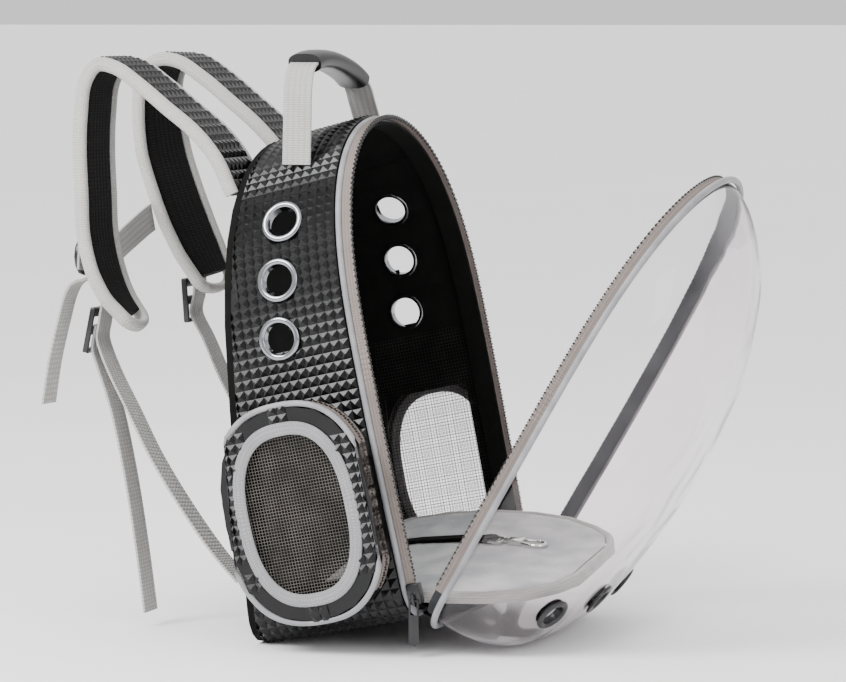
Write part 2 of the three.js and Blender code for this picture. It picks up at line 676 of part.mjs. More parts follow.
// Shoulder straps: shares of the reach and the rise from the root, twist in degrees, width as a share
const STRAP_LEFT = [
  { reach: 0.0, rise: -0.06, twist: 0, wide: 1 }, { reach: 0.1, rise: 0.22, twist: 0, wide: 1 },
  { reach: 0.24, rise: 0.44, twist: 0, wide: 1 }, { reach: 0.42, rise: 0.63, twist: 0, wide: 1 },
  { reach: 0.6, rise: 0.82, twist: 0, wide: 1 }, { reach: 0.76, rise: 0.96, twist: 0, wide: 1 },
  { reach: 0.88, rise: 0.98, twist: 0, wide: 1 }, { reach: 0.96, rise: 0.84, twist: 0, wide: 1 },
  { reach: 0.99, rise: 0.58, twist: 0, wide: 1 }, { reach: 1.0, rise: 0.28, twist: 0, wide: 1 },
  { reach: 0.99, rise: -0.1, twist: 0, wide: 1 }, { reach: 0.98, rise: -0.42, twist: 0, wide: 1 },
  { reach: 0.93, rise: -0.72, twist: 0, wide: 0.96 }, { reach: 0.85, rise: -0.95, twist: 0, wide: 0.85 },
  { reach: 0.77, rise: -1.08, twist: 0, wide: 0.7 }];
const STRAP_RIGHT = [
  { reach: 0.0, rise: -0.06, twist: 0, wide: 1 }, { reach: 0.12, rise: 0.24, twist: 0, wide: 1 },
  { reach: 0.27, rise: 0.46, twist: 0, wide: 1 }, { reach: 0.45, rise: 0.66, twist: 0, wide: 1 },
  { reach: 0.64, rise: 0.86, twist: 0, wide: 1 }, { reach: 0.82, rise: 1.0, twist: 0, wide: 1 },
  { reach: 0.96, rise: 0.98, twist: 4, wide: 1 }, { reach: 1.03, rise: 0.8, twist: 10, wide: 1 },
  { reach: 1.03, rise: 0.52, twist: 16, wide: 1 }, { reach: 1.0, rise: 0.22, twist: 19, wide: 1 },
  { reach: 0.93, rise: -0.08, twist: 19, wide: 1 }, { reach: 0.85, rise: -0.36, twist: 19, wide: 1 },
  { reach: 0.76, rise: -0.62, twist: 18, wide: 0.96 }, { reach: 0.67, rise: -0.84, twist: 16, wide: 0.85 }];

// A place on or near the straps: shares of the half distance between them, the reach and the rise
function strapPlace(apart, reach, rise) {
  const root = vec(0, -BACK_TOUCH, HEIGHT - STRAP_DROP).applyMatrix4(BACK_TURN).applyMatrix4(TILT);
  root.y += STRAP_THICK / 2;
  return vec(apart * STRAP_APART, root.y + reach * STRAP_REACH, root.z + rise * STRAP_RISE);
}
function strapPath(table, side) {
  const points = table.map(({ reach, rise }) => strapPlace(side, reach, rise));
  const shareOf = (share, column) => {
    const place = share * (table.length - 1);
    const row = Math.min(Math.floor(place), table.length - 2);
    return mix(table[row][column], table[row + 1][column], place - row);
  };
  const curve = new THREE.CatmullRomCurve3(points);
  return steps(STRAP_STEPS).map((share) => {
    const frame = straightFrame(curve, share, degrees(shareOf(share, 'twist')));
    return { ...frame, wide: STRAP_WIDE * shareOf(share, 'wide') };
  });
}
function straightFrame(curve, share, twist) {
  const at = curve.getPoint(share);
  const along = curve.getTangent(share);
  const across = vec(1, 0, 0).addScaledVector(along, -along.x).normalize().applyAxisAngle(along, twist);
  return { at, along, u: across, w: along.clone().cross(across) };
}
const STRAP_STEPS = 20;

// Which of a strap's frames carry the sewn end of a webbing, from one and before another
const SEWN = { left: [-3, -2], right: [-4, -1], tail: [-4, -3] };

function strapPad(frames) {
  return loft(frames.map(({ at, u, w, wide }) =>
    padded(wide - 2 * STRAP_EDGE - 2 * GAP, STRAP_THICK).map(([a, b]) =>
      at.clone().addScaledVector(u, a).addScaledVector(w, b))));
}
// The binding runs down one edge, round the tip and up the other
function strapBinding(frames) {
  const edge = (sign) => frames.map(({ at, u, w, wide }) => {
    const out = u.clone().multiplyScalar(sign);
    return { at: at.clone().addScaledVector(out, (wide - STRAP_EDGE) / 2), u: out, w };
  });
  const tip = frames.at(-1);
  const round = steps(6, 0, Math.PI).slice(1, -1).map((turn) => {
    const out = tip.u.clone().multiplyScalar(Math.cos(turn)).addScaledVector(tip.along, Math.sin(turn));
    const reach = tip.u.clone().multiplyScalar(Math.cos(turn) * (tip.wide - STRAP_EDGE) / 2)
      .addScaledVector(tip.along, Math.sin(turn) * STRAP_TIP);
    return { at: tip.at.clone().add(reach), u: out.normalize(), w: tip.w };
  });
  const section = bar(STRAP_EDGE, STRAP_THICK + STRAP_EDGE_PROUD);
  return sweep([...edge(1), ...round, ...edge(-1).reverse()], section);
}

// Webbing between the straps' tips and the shell's foot: shares of the way across, back and down
const HUNG = {
  webbing_left: [[0, -0.1691, -0.0243], [0, -0.1906, 0.0437], [0, -0.2058, 0.0935], [0.022, -0.1763, 0.1479],
    [0.111, -0.0845, 0.2431], [0.267, 0.0749, 0.3791], [0.489, 0.2663, 0.5377], [0.711, 0.5215, 0.719],
    [0.889, 0.7927, 0.8912], [1, 1, 1]],
  webbing_right: [[0, -0.1151, 0.0798], [0, -0.1331, 0.1123], [0, -0.1376, 0.1449], [0.089, -0.0432, 0.2426],
    [0.267, 0.0737, 0.3892], [0.489, 0.2446, 0.5521], [0.711, 0.4964, 0.7313], [0.889, 0.7842, 0.9023],
    [1, 1, 1]],
  tail_left: [[0, -0.2137, 0.0482], [0, -0.2321, 0.0967], [0, -0.2408, 0.1434], [0.011, -0.2042, 0.2068],
    [0.044, -0.1005, 0.3655], [0.067, 0.0111, 0.6374], [0.067, 0.0909, 0.9094], [0.067, 0.1547, 1.1722]],
};
// Webbing that follows the straps: shares of their distance, reach and rise
const CARRIED = {
  tail_upper: [[-1, 0.9996, -0.7736], [-1, 1.0418, -0.8024], [-1, 1.0911, -0.8168], [-1, 1.1334, -0.8601],
    [-1.007, 1.1686, -0.9515], [-1.021, 1.2109, -1.163], [-1.042, 1.2672, -1.4899],
    [-1.056, 1.3095, -1.8553]],
  sternum: [[-1.361, 1.0221, -0.5861], [-1, 1.0207, -0.6149], [-0.5, 1.0278, -0.6245], [0, 1.0334, -0.5188],
    [0.528, 1.0179, -0.3841], [0.694, 1.0109, -0.3457]],
};
const TIPS = { left: STRAP_LEFT.at(-1), right: STRAP_RIGHT.at(-1) };
const FOOT = { up: 50, behind: 13.6, inside: 1 };
const LOCKS = [{ hand: 'left', place: [0, -0.252, 0.0663], turn: 12 },
  { hand: 'right', place: [0, -0.1745, 0.0961], turn: -4 }];
const OVAL_PLACE = [-1.111, 1.0221, -0.6053];

function hungPlace(hand, [across, back, down]) {
  const side = hand === 'left' ? -1 : 1;
  const tip = strapPlace(side, TIPS[hand].reach, TIPS[hand].rise);
  const wall = vec(0, 0, FOOT.up).applyMatrix4(BACK_TURN).applyMatrix4(TILT);
  const foot = vec(side * (FLAT - FOOT.inside), wall.y + FOOT.behind, FOOT.up);
  return vec(mix(tip.x, foot.x, across), mix(tip.y, foot.y, back), mix(tip.z, foot.z, down));
}
const ROUTES = () => ({
  webbing_left: HUNG.webbing_left.map((place) => hungPlace('left', place)),
  webbing_right: HUNG.webbing_right.map((place) => hungPlace('right', place)),
  tail_left: HUNG.tail_left.map((place) => hungPlace('left', place)),
  tail_upper: CARRIED.tail_upper.map((place) => strapPlace(...place)),
  sternum: CARRIED.sternum.map((place) => strapPlace(...place)),
});
const pathOf = (name) => new THREE.CatmullRomCurve3(ROUTES()[name]);
const ribbon = (name, across = vec(1, 0, 0), count = 12) =>
  sweep(pathFrames(pathOf(name), steps(count), across), bar(WEBBING, WEBBING_THICK));

// A webbing sewn to the outer face of a strap for a few of its frames, and hanging from there on
function hangingRibbon(name, frames, from, to, count = 14) {
  const out = -((STRAP_THICK + WEBBING_THICK) / 2 + GAP);
  const outside = ({ at, u, w }) => ({ at: at.clone().addScaledVector(w, out), u, w });
  const sewn = frames.slice(from, to).map(outside);
  const loose = pathFrames(pathOf(name), steps(count), vec(1, 0, 0));
  return sweep([...sewn, ...loose], bar(WEBBING, WEBBING_THICK));
}

// A ladder lock: a flat frame with one bar across it. Its slots are shares of half its length
const LOCK_SLOTS = [[-0.8, -0.2], [0.2, 0.6]];
function ladderLock() {
  const half = vec(WEBBING / 2 + LOCK_RAIL, LOCK_THICK / 2, LOCK_LONG / 2);
  const open = WEBBING / 2 + 1;
  const slots = LOCK_SLOTS.map(([low, high]) =>
    block(vec(-open, -LOCK_THICK, low * half.z), vec(open, LOCK_THICK, high * half.z)));
  return cut(block(half.clone().negate(), half), slots);
}

// An oval plate behind the left strap that holds the sternum webbing
function sternumSlider() {
  const round = steps(12, 0, 2 * Math.PI).slice(0, -1);
  return plate(round.map((a) => [(OVAL_WIDE / 2) * Math.cos(a), (OVAL_TALL / 2) * Math.sin(a)]), OVAL_THICK);
}

// Mat: rows from the back edge, as shares of its length; its lift at the middle, how much the right side
// lies above the left, and its width, as shares too
const MAT_ROWS = [
  { along: 0, lift: 0.978, rise: 1, wide: 0.9 }, { along: 0.06, lift: 1, rise: 1, wide: 1 },
  { along: 0.25, lift: 0.978, rise: 1, wide: 1 }, { along: 0.45, lift: 0.885, rise: 0.947, wide: 1 },
  { along: 0.6, lift: 0.739, rise: 0.921, wide: 1 }, { along: 0.75, lift: 0.565, rise: 0.842, wide: 0.97 },
  { along: 0.87, lift: 0.413, rise: 0.737, wide: 0.86 },
  { along: 0.96, lift: 0.326, rise: 0.684, wide: 0.66 },
  { along: 1, lift: 0.283, rise: 0.658, wide: 0.42 }];
const MAT_WIDE = 2 * (HALF_BASE - MAT_SIDE);
const matLevel = (lift, rise, x) => lift * MAT_LIFT + (rise * MAT_RISE * x) / MAT_WIDE;

function matPoint({ along, lift, rise, wide }, across, inset, top) {
  const x = across * wide * (MAT_WIDE / 2 - inset);
  const forward = MAT_BACK + inset + along * (MAT_LONG - 2 * inset);
  return vec(x, -forward, matLevel(lift, rise, x) - (top ? 0 : MAT_THICK));
}
function mat() {
  const layer = (top) => MAT_ROWS.map((row) =>
    steps(6, -1, 1).map((across) => matPoint(row, across, MAT_EDGE + GAP, top)));
  return wall(layer(true), layer(false));
}
function matBinding() {
  const order = [...MAT_ROWS.map((row) => [row, 1]), ...[...MAT_ROWS].reverse().map((row) => [row, -1])];
  const ring = (inset, top) => order.map(([row, across]) => matPoint(row, across, inset, top));
  return wall([ring(0, true), ring(MAT_EDGE, true)], [ring(0, false), ring(MAT_EDGE, false)], true);
}

// Height of the mat's face above the rim's foot, and its slopes there
function matTop(x, forward) {
  const inset = MAT_EDGE + GAP;
  const along = THREE.MathUtils.clamp((forward - MAT_BACK - inset) / (MAT_LONG - 2 * inset), 0, 1);
  const row = Math.max(0, MAT_ROWS.slice(0, -1).findLastIndex((entry) => entry.along <= along));
  const [low, high] = [MAT_ROWS[row], MAT_ROWS[row + 1]];
  const share = (along - low.along) / (high.along - low.along);
  return matLevel(mix(low.lift, high.lift, share), mix(low.rise, high.rise, share), x);
}

// Snap hook: it lies along the mat, in a frame with X along it, Y up and Z across
const HOOK_FRAME = (() => {
  const reach = 30;
  const seatAt = 4;
  const at = (x, forward) => vec(x, -forward, matTop(x, forward));
  const seat = at(TETHER_AT, HOOK_FORWARD + seatAt);
  const along = at(TETHER_AT, HOOK_FORWARD + reach + 5).sub(seat).normalize();
  const across = at(TETHER_AT - reach, HOOK_FORWARD).sub(at(TETHER_AT, HOOK_FORWARD));
  across.addScaledVector(along, -across.dot(along)).normalize();
  seat.addScaledVector(along, -seatAt);
  return new THREE.Matrix4().makeBasis(along, across.clone().cross(along), across).setPosition(seat);
})();
const HOOK_MIDDLE = GAP + HOOK_THICK / 2;
// Distances along the hook from the middle of its eye, the eye's bar, and a cheek's reach about the pivot
const HOOK = { eyeLong: 6, eyeBar: 2.4, neck: 5, body: 11, shoulder: 24, bend: 37, tip: 34.5, pivot: 21.5,
  cheek: 2 };
const GATE_SIDE = HOOK_LOOP / 2;

function snapHook() {
  const box = (from, to, half, thick) =>
    block(vec(from, HOOK_MIDDLE - thick / 2, -half), vec(to, HOOK_MIDDLE + thick / 2, half));
  const cheek = (low, high) =>
    block(vec(HOOK.pivot - HOOK.cheek, low, -GATE_SIDE - HOOK_WIRE / 2), vec(HOOK.shoulder, high, -1));
  const top = GAP + HOOK_THICK;
  const skinThick = (HOOK_THICK - GATE_THICK) / 2 - GAP;
  const eye = cut(box(-HOOK.eyeLong, HOOK.eyeLong, HOOK_EYE / 2, HOOK_WIRE * 0.75),
    [box(HOOK.eyeBar - HOOK.eyeLong, HOOK.eyeLong - HOOK.eyeBar, TETHER_WIDE / 2 + 2 * GAP, HOOK_THICK)]);
  const bow = steps(6, Math.PI / 2, -Math.PI / 2).map((a) =>
    [HOOK.bend + GATE_SIDE * Math.cos(a), GATE_SIDE * Math.sin(a)]);
  const loop = [[HOOK.shoulder - 4, 2], [HOOK.shoulder + 4, GATE_SIDE - 2], [HOOK.bend - 4, GATE_SIDE],
    ...bow, [HOOK.tip, -GATE_SIDE]];
  return joined([eye,
    box(HOOK.neck, HOOK.body + 1, HOOK_BODY / 4, HOOK_WIRE),
    box(HOOK.body, HOOK.shoulder, HOOK_BODY / 2, HOOK_THICK),
    cheek(GAP, GAP + skinThick),
    cheek(top - skinThick, top),
    sweep(outlineFrames(loop, 0, HOOK_MIDDLE, false), rod(HOOK_WIRE, 6))]);
}
// The gate closes the hook from the pivot between the cheeks, which is its own origin
function hookGate() {
  const half = GATE_WIDE / 2;
  const reach = HOOK.tip - HOOK.pivot - GAP;
  const turns = steps(4, Math.PI / 2, (3 * Math.PI) / 2);
  const round = turns.map((a) => [half * Math.cos(a), half * Math.sin(a)]);
  return plate([...round, [reach, -half], [reach, half]], GATE_THICK).translate(0, GATE_THICK / 2, 0);
}

// Tether: out from the back wall over the mat, through the hook's eye and back on top of itself
// Shares of the tether's place across, of the hook's place forward, and heights above the mat
const TETHER_IN = [[1.28, 0.0785, 3], [1.28, 0.1744, 2.5], [1.26, 0.275, 1.5], [1.24, 0.3494, 1],
  [1.16, 0.5855, 1], [1.04, 0.8331, 1]];
const TETHER_BACK = [[1.144, 0.5855, 2.6], [1.2, 0.4651, 2.6]];
// Between them it goes through the eye: distances from the eye and heights above the mat there
const TETHER_BEND = [[-14, 0.8], [-4, 0.65], [-2, 1.2], [-1.4, 3], [-2, 4.8], [-4, 5.2], [-9, 4.8],
  [-16, 3], [-27, 2.6]];

function tether() {
  const spot = ([across, along, above]) => {
    const [x, forward] = [across * TETHER_AT, along * HOOK_FORWARD];
    return vec(x, -forward, matTop(x, forward) + above);
  };
  const points = [...TETHER_IN.map(spot),
    ...TETHER_BEND.map(([from, above]) => vec(from, above, 0).applyMatrix4(HOOK_FRAME)),
    ...TETHER_BACK.map(spot)];
  const across = vec(0, 0, -1).transformDirection(HOOK_FRAME);
  const frames = points.map((at, k) => {
    const next = points[Math.min(k + 1, points.length - 1)];
    const along = next.clone().sub(points[Math.max(k - 1, 0)]).normalize();
    const u = across.clone().addScaledVector(along, -across.dot(along)).normalize();
    return { at, u, w: along.clone().cross(u) };
  });
  return sweep(frames, bar(TETHER_WIDE, TETHER_THICK));
}

// Assembly

const model = new THREE.Group();
const TILT = new THREE.Matrix4().makeTranslation(0, FOOT_BACK, 0)
  .multiply(new THREE.Matrix4().makeRotationX(-degrees(LEAN)));
const carrier = new THREE.Group();
carrier.applyMatrix4(TILT);
const door = new THREE.Group();
door.position.set(0, -DEPTH - HINGE_GAP, 0);
door.rotation.x = degrees(OPENING);
carrier.add(door);
model.add(carrier);

function add(group, name, geometry, material) {
  const mesh = new THREE.Mesh(geometry, material);
  mesh.name = name;
  group.add(mesh);
  return mesh;
}

const SIDES = [['left', -1], ['right', 1]];

add(carrier, 'back_panel', backPanel(), FINISH.black);
add(carrier, 'base_panel', panel([[-FLAT, 0], [0, 0], [FLAT, 0]]), FINISH.black);
add(carrier, 'top_panel', panel([...TOP_HALF, ...mirrored(TOP_HALF).slice(1)]), FINISH.leatherette);
add(carrier, 'rim_piping', rimPiping(), FINISH.piping);
add(carrier, 'rim_zip_tape', rimTape(), FINISH.tape);
add(carrier, 'rim_binding', rimBinding(), FINISH.black);
add(carrier, 'hinge_strip', hingeStrip(), FINISH.black);
for (const [hand, side] of SIDES) {
  add(carrier, `side_panel_${hand}`, sidePanel(side), FINISH.leatherette);
  add(carrier, `side_mesh_${hand}`, patch(side, LINING_BOX, WALL + 1, MESH_THICK, 5, 1), FINISH.mesh);
  GROMMETS.forEach((place, k) => {
    add(carrier, `grommet_${hand}_${k + 1}`, grommet(side, place), FINISH.steel);
  });
  add(carrier, `pocket_gusset_${hand}`, pocketGusset(side), FINISH.leatherette);
  add(carrier, `pocket_face_${hand}`, pocketRing(side, POCKET_DRAFT, WINDOW_AT, POCKET_OUT, POCKET_CLOTH),
    FINISH.leatherette);
  add(carrier, `pocket_piping_${hand}`, pocketPiping(side), FINISH.piping);
  add(carrier, `pocket_zip_${hand}`, pocketZip(side), FINISH.tape);
  add(carrier, `pocket_binding_${hand}`,
    pocketRing(side, WINDOW_AT - WINDOW_LAP, WINDOW_AT - WINDOW_LAP + WINDOW_BINDING,
      POCKET_OUT + GAP + WINDOW_BINDING_THICK, WINDOW_BINDING_THICK), FINISH.felt);
  add(carrier, `pocket_window_${hand}`, pocketWindow(side), FINISH.mesh);
  add(carrier, `pocket_pull_${hand}`, pocketPull(side), FINISH.plastic);
}

add(door, 'dome', dome(), FINISH.clear);
add(door, 'dome_zip_tape', domeTape(), FINISH.tape);
add(door, 'dome_binding', domeBinding(), FINISH.charcoal);
add(door, 'dome_piping', domePiping(), FINISH.piping);
DOME_VENTS.forEach((vent, k) => add(door, `dome_vent_${k + 1}`, domeVent(vent), FINISH.plastic));

add(carrier, 'main_slider', mainSlider(), FINISH.plastic);
add(model, 'main_pull', mainPull(), FINISH.plastic).position.copy(PULL_AT.clone().applyMatrix4(TILT));

add(model, 'handle_webbing', handleWebbing(), FINISH.grey);
add(model, 'handle_grip', handleGrip(), FINISH.black);
for (const [hand, side, table] of [['left', -1, STRAP_LEFT], ['right', 1, STRAP_RIGHT]]) {
  const frames = strapPath(table, side);
  add(model, `strap_${hand}`, strapPad(frames), FINISH.black);
  add(model, `strap_binding_${hand}`, strapBinding(frames), FINISH.grey);
  add(model, `webbing_${hand}`, hangingRibbon(`webbing_${hand}`, frames, ...SEWN[hand]), FINISH.grey);
}
add(model, 'tail_left', ribbon('tail_left'), FINISH.grey);
const upperTail = hangingRibbon('tail_upper', strapPath(STRAP_LEFT, -1), ...SEWN.tail, 8);
add(model, 'tail_upper', upperTail, FINISH.grey);
add(model, 'sternum_webbing', ribbon('sternum', vec(0, 0, 1), 4), FINISH.grey);
const behindWebbing = vec(0, WEBBING_THICK / 2 + GAP + OVAL_THICK, 0);
add(model, 'sternum_slider', sternumSlider(), FINISH.plastic)
  .position.copy(strapPlace(...OVAL_PLACE).add(behindWebbing));
for (const { hand, place, turn } of LOCKS) {
  const lock = add(model, `ladder_lock_${hand}`, ladderLock(), FINISH.plastic);
  lock.position.copy(hungPlace(hand, place));
  lock.rotation.x = degrees(turn);
}

add(carrier, 'mat', mat(), FINISH.fleece);
add(carrier, 'mat_binding', matBinding(), FINISH.grey);
add(carrier, 'tether_webbing', tether(), FINISH.black);
const clip = new THREE.Group();
clip.applyMatrix4(HOOK_FRAME);
carrier.add(clip);
add(clip, 'snap_hook', snapHook(), FINISH.steel);
add(clip, 'hook_gate', hookGate(), FINISH.steel).position.set(HOOK.pivot, HOOK_MIDDLE, -GATE_SIDE);

// The origin goes under the middle of the whole
model.updateMatrixWorld(true);
const bounds = new THREE.Box3().setFromObject(model, true);
const middle = bounds.getCenter(new THREE.Vector3());
model.position.set(-middle.x, -middle.y, -bounds.min.z);

export default model;
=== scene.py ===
"""Bubble pet carrier backpack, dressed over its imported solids.

Sizes are in millimetres, as in the part's source, and become metres where a mesh is placed.
The front and the door face -Y, the shoulder straps +Y, the left side is -X and +Z is up.
"""

from __future__ import annotations

import json
import logging
import math
from dataclasses import dataclass, field
from enum import Enum
from typing import Callable, Optional, Sequence

import bpy
import numpy as np
from mathutils import Matrix, Vector
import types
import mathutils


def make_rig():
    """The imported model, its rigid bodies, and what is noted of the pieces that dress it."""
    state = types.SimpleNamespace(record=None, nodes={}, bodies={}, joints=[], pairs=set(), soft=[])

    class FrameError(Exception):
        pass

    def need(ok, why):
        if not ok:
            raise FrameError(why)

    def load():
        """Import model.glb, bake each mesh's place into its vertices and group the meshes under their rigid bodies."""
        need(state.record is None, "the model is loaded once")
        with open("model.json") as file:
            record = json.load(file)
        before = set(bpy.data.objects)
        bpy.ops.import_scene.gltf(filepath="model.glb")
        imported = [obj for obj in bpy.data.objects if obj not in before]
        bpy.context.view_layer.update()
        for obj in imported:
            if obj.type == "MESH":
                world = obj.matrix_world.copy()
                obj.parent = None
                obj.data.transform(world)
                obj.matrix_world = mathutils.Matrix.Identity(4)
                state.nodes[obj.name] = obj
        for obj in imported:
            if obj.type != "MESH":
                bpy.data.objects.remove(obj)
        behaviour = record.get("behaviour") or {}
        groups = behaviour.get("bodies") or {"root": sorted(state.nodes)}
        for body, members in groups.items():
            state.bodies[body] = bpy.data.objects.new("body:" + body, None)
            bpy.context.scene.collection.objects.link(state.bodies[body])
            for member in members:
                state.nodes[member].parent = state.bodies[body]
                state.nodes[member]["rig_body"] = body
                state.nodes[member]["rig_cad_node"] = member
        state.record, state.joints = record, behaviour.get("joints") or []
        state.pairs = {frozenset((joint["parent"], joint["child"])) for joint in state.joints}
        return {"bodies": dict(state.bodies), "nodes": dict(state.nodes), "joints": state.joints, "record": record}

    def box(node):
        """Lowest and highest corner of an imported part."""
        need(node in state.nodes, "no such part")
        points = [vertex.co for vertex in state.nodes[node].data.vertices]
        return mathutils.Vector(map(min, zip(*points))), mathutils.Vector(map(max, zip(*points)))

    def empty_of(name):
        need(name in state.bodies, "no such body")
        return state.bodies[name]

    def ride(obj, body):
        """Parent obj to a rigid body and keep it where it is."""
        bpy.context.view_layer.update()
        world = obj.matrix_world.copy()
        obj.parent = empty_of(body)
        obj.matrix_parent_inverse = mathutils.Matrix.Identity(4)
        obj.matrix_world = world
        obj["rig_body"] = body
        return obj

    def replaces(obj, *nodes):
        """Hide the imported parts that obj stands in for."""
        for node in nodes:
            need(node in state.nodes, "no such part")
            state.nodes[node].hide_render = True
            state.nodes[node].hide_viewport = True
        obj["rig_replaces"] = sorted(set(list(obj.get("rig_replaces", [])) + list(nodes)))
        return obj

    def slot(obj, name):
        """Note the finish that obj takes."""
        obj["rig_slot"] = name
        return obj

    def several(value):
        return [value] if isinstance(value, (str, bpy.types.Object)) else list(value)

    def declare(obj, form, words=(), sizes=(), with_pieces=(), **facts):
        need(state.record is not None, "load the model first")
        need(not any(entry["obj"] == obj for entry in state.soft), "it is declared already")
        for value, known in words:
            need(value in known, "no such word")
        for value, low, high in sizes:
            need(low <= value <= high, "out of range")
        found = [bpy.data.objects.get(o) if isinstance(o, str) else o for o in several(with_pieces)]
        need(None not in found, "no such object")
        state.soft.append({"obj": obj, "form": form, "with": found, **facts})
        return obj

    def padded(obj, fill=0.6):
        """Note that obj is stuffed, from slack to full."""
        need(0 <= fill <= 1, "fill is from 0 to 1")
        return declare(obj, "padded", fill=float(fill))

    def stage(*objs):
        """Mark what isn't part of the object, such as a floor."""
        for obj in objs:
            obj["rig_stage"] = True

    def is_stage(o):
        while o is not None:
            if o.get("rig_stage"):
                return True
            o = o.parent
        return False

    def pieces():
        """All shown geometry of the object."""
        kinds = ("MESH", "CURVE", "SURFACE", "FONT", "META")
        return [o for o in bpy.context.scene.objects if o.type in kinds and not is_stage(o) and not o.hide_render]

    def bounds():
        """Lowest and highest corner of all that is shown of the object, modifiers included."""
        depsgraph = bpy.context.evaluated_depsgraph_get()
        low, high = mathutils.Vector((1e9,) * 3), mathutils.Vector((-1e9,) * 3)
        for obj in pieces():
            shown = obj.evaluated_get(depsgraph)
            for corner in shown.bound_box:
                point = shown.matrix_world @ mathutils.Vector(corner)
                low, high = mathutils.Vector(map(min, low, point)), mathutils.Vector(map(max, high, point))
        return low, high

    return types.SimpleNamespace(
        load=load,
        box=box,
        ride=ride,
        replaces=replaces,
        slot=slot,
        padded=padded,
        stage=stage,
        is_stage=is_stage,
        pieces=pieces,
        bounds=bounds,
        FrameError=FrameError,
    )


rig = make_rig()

LOG = logging.getLogger("carrier")
MM = 0.001
GAP = 0.3
BODY = "carrier"
# The period of a band wave of scale 1, in metres
WAVE_PERIOD = 0.314
# The noise values between which a mottled finish goes from its one colour to the other
MOTTLE = (0.35, 0.65)
# How near two points of a sheet lie before they are one, in metres
WELD = 1e-5
Step = Callable[[], object]
Place = Callable[[float, float], Vector]
Points = Sequence[tuple[float, float]]
Colour = tuple[float, float, float, float]


class Side(Enum):
    """The two sides of the carrier, as the sign of X."""

    LEFT = -1
    RIGHT = 1

    @property
    def hand(self) -> str:
        """The side's name in the names of its nodes."""
        return self.name.lower()


# ---------------------------------------------------------------------------
# Finishes
# ---------------------------------------------------------------------------


def linear(colour: str) -> Colour:
    """An sRGB hex colour as linear values.

    Args:
        colour: Six hex digits after a hash sign.

    Returns:
        Red, green and blue from 0 to 1, and full opacity.
    """
    shares = [int(colour[k : k + 2], 16) / 255 for k in (1, 3, 5)]
    red, green, blue = (s / 12.92 if s <= 0.04045 else ((s + 0.055) / 1.055) ** 2.4 for s in shares)
    return red, green, blue, 1.0


def add_node(tree: bpy.types.NodeTree, kind: str, links: Optional[dict] = None, **settings) -> bpy.types.Node:
    """A node with its settings and its incoming links.

    Args:
        tree: The material's node tree.
        kind: The node's type name.
        links: Input socket to the output socket that feeds it.
        settings: Attributes of the node, or values of its inputs where the node has no such attribute.

    Returns:
        The new node.
    """
    made = tree.nodes.new(kind)
    for key, value in settings.items():
        if hasattr(made, key):
            setattr(made, key, value)
        else:
            made.inputs[key.replace("_", " ")].default_value = value
    for socket, source in (links or {}).items():
        tree.links.new(source, made.inputs[socket])
    return made


def noise(tree: bpy.types.NodeTree, where: bpy.types.NodeSocket, size: float,
          detail: float) -> bpy.types.NodeSocket:
    """A cloudy pattern.

    Args:
        tree: The node tree.
        where: The socket of the coordinates.
        size: How wide a cloud is, in millimetres.
        detail: How many finer patterns it holds.

    Returns:
        The pattern's socket.
    """
    made = add_node(tree, "ShaderNodeTexNoise", {"Vector": where}, Scale=1 / (size * MM), Detail=detail)
    return made.outputs["Fac"]


def colour_ramp(tree: bpy.types.NodeTree, share: bpy.types.NodeSocket, places: tuple[float, float],
                colours: tuple[Colour, Colour]) -> bpy.types.NodeSocket:
    """A ramp between two colours.

    Args:
        tree: The node tree.
        share: The socket that drives the ramp.
        places: Where on the ramp the two colours stand.
        colours: The two colours, linear.

    Returns:
        The colour's socket.
    """
    ramp = add_node(tree, "ShaderNodeValToRGB", {"Fac": share})
    for element, place, colour in zip(ramp.color_ramp.elements, places, colours):
        element.position = place
        element.color = colour
    return ramp.outputs["Color"]


def mixed_colour(tree: bpy.types.NodeTree, share: bpy.types.NodeSocket, low: Colour, high: Colour,
                 low_from: Optional[bpy.types.NodeSocket] = None) -> bpy.types.NodeSocket:
    """Two colours mixed by a share.

    Args:
        tree: The node tree.
        share: The socket of the share, from 0 to 1.
        low: The colour at 0, linear.
        high: The colour at 1, linear.
        low_from: A socket that takes the place of the colour at 0.

    Returns:
        The mixed colour's socket.
    """
    made = add_node(tree, "ShaderNodeMix", {"Factor": share}, data_type="RGBA")
    sockets = {socket.identifier: socket for socket in [*made.inputs, *made.outputs]}
    sockets["A_Color"].default_value = low
    sockets["B_Color"].default_value = high
    if low_from:
        tree.links.new(low_from, sockets["A_Color"])
    return sockets["Result_Color"]


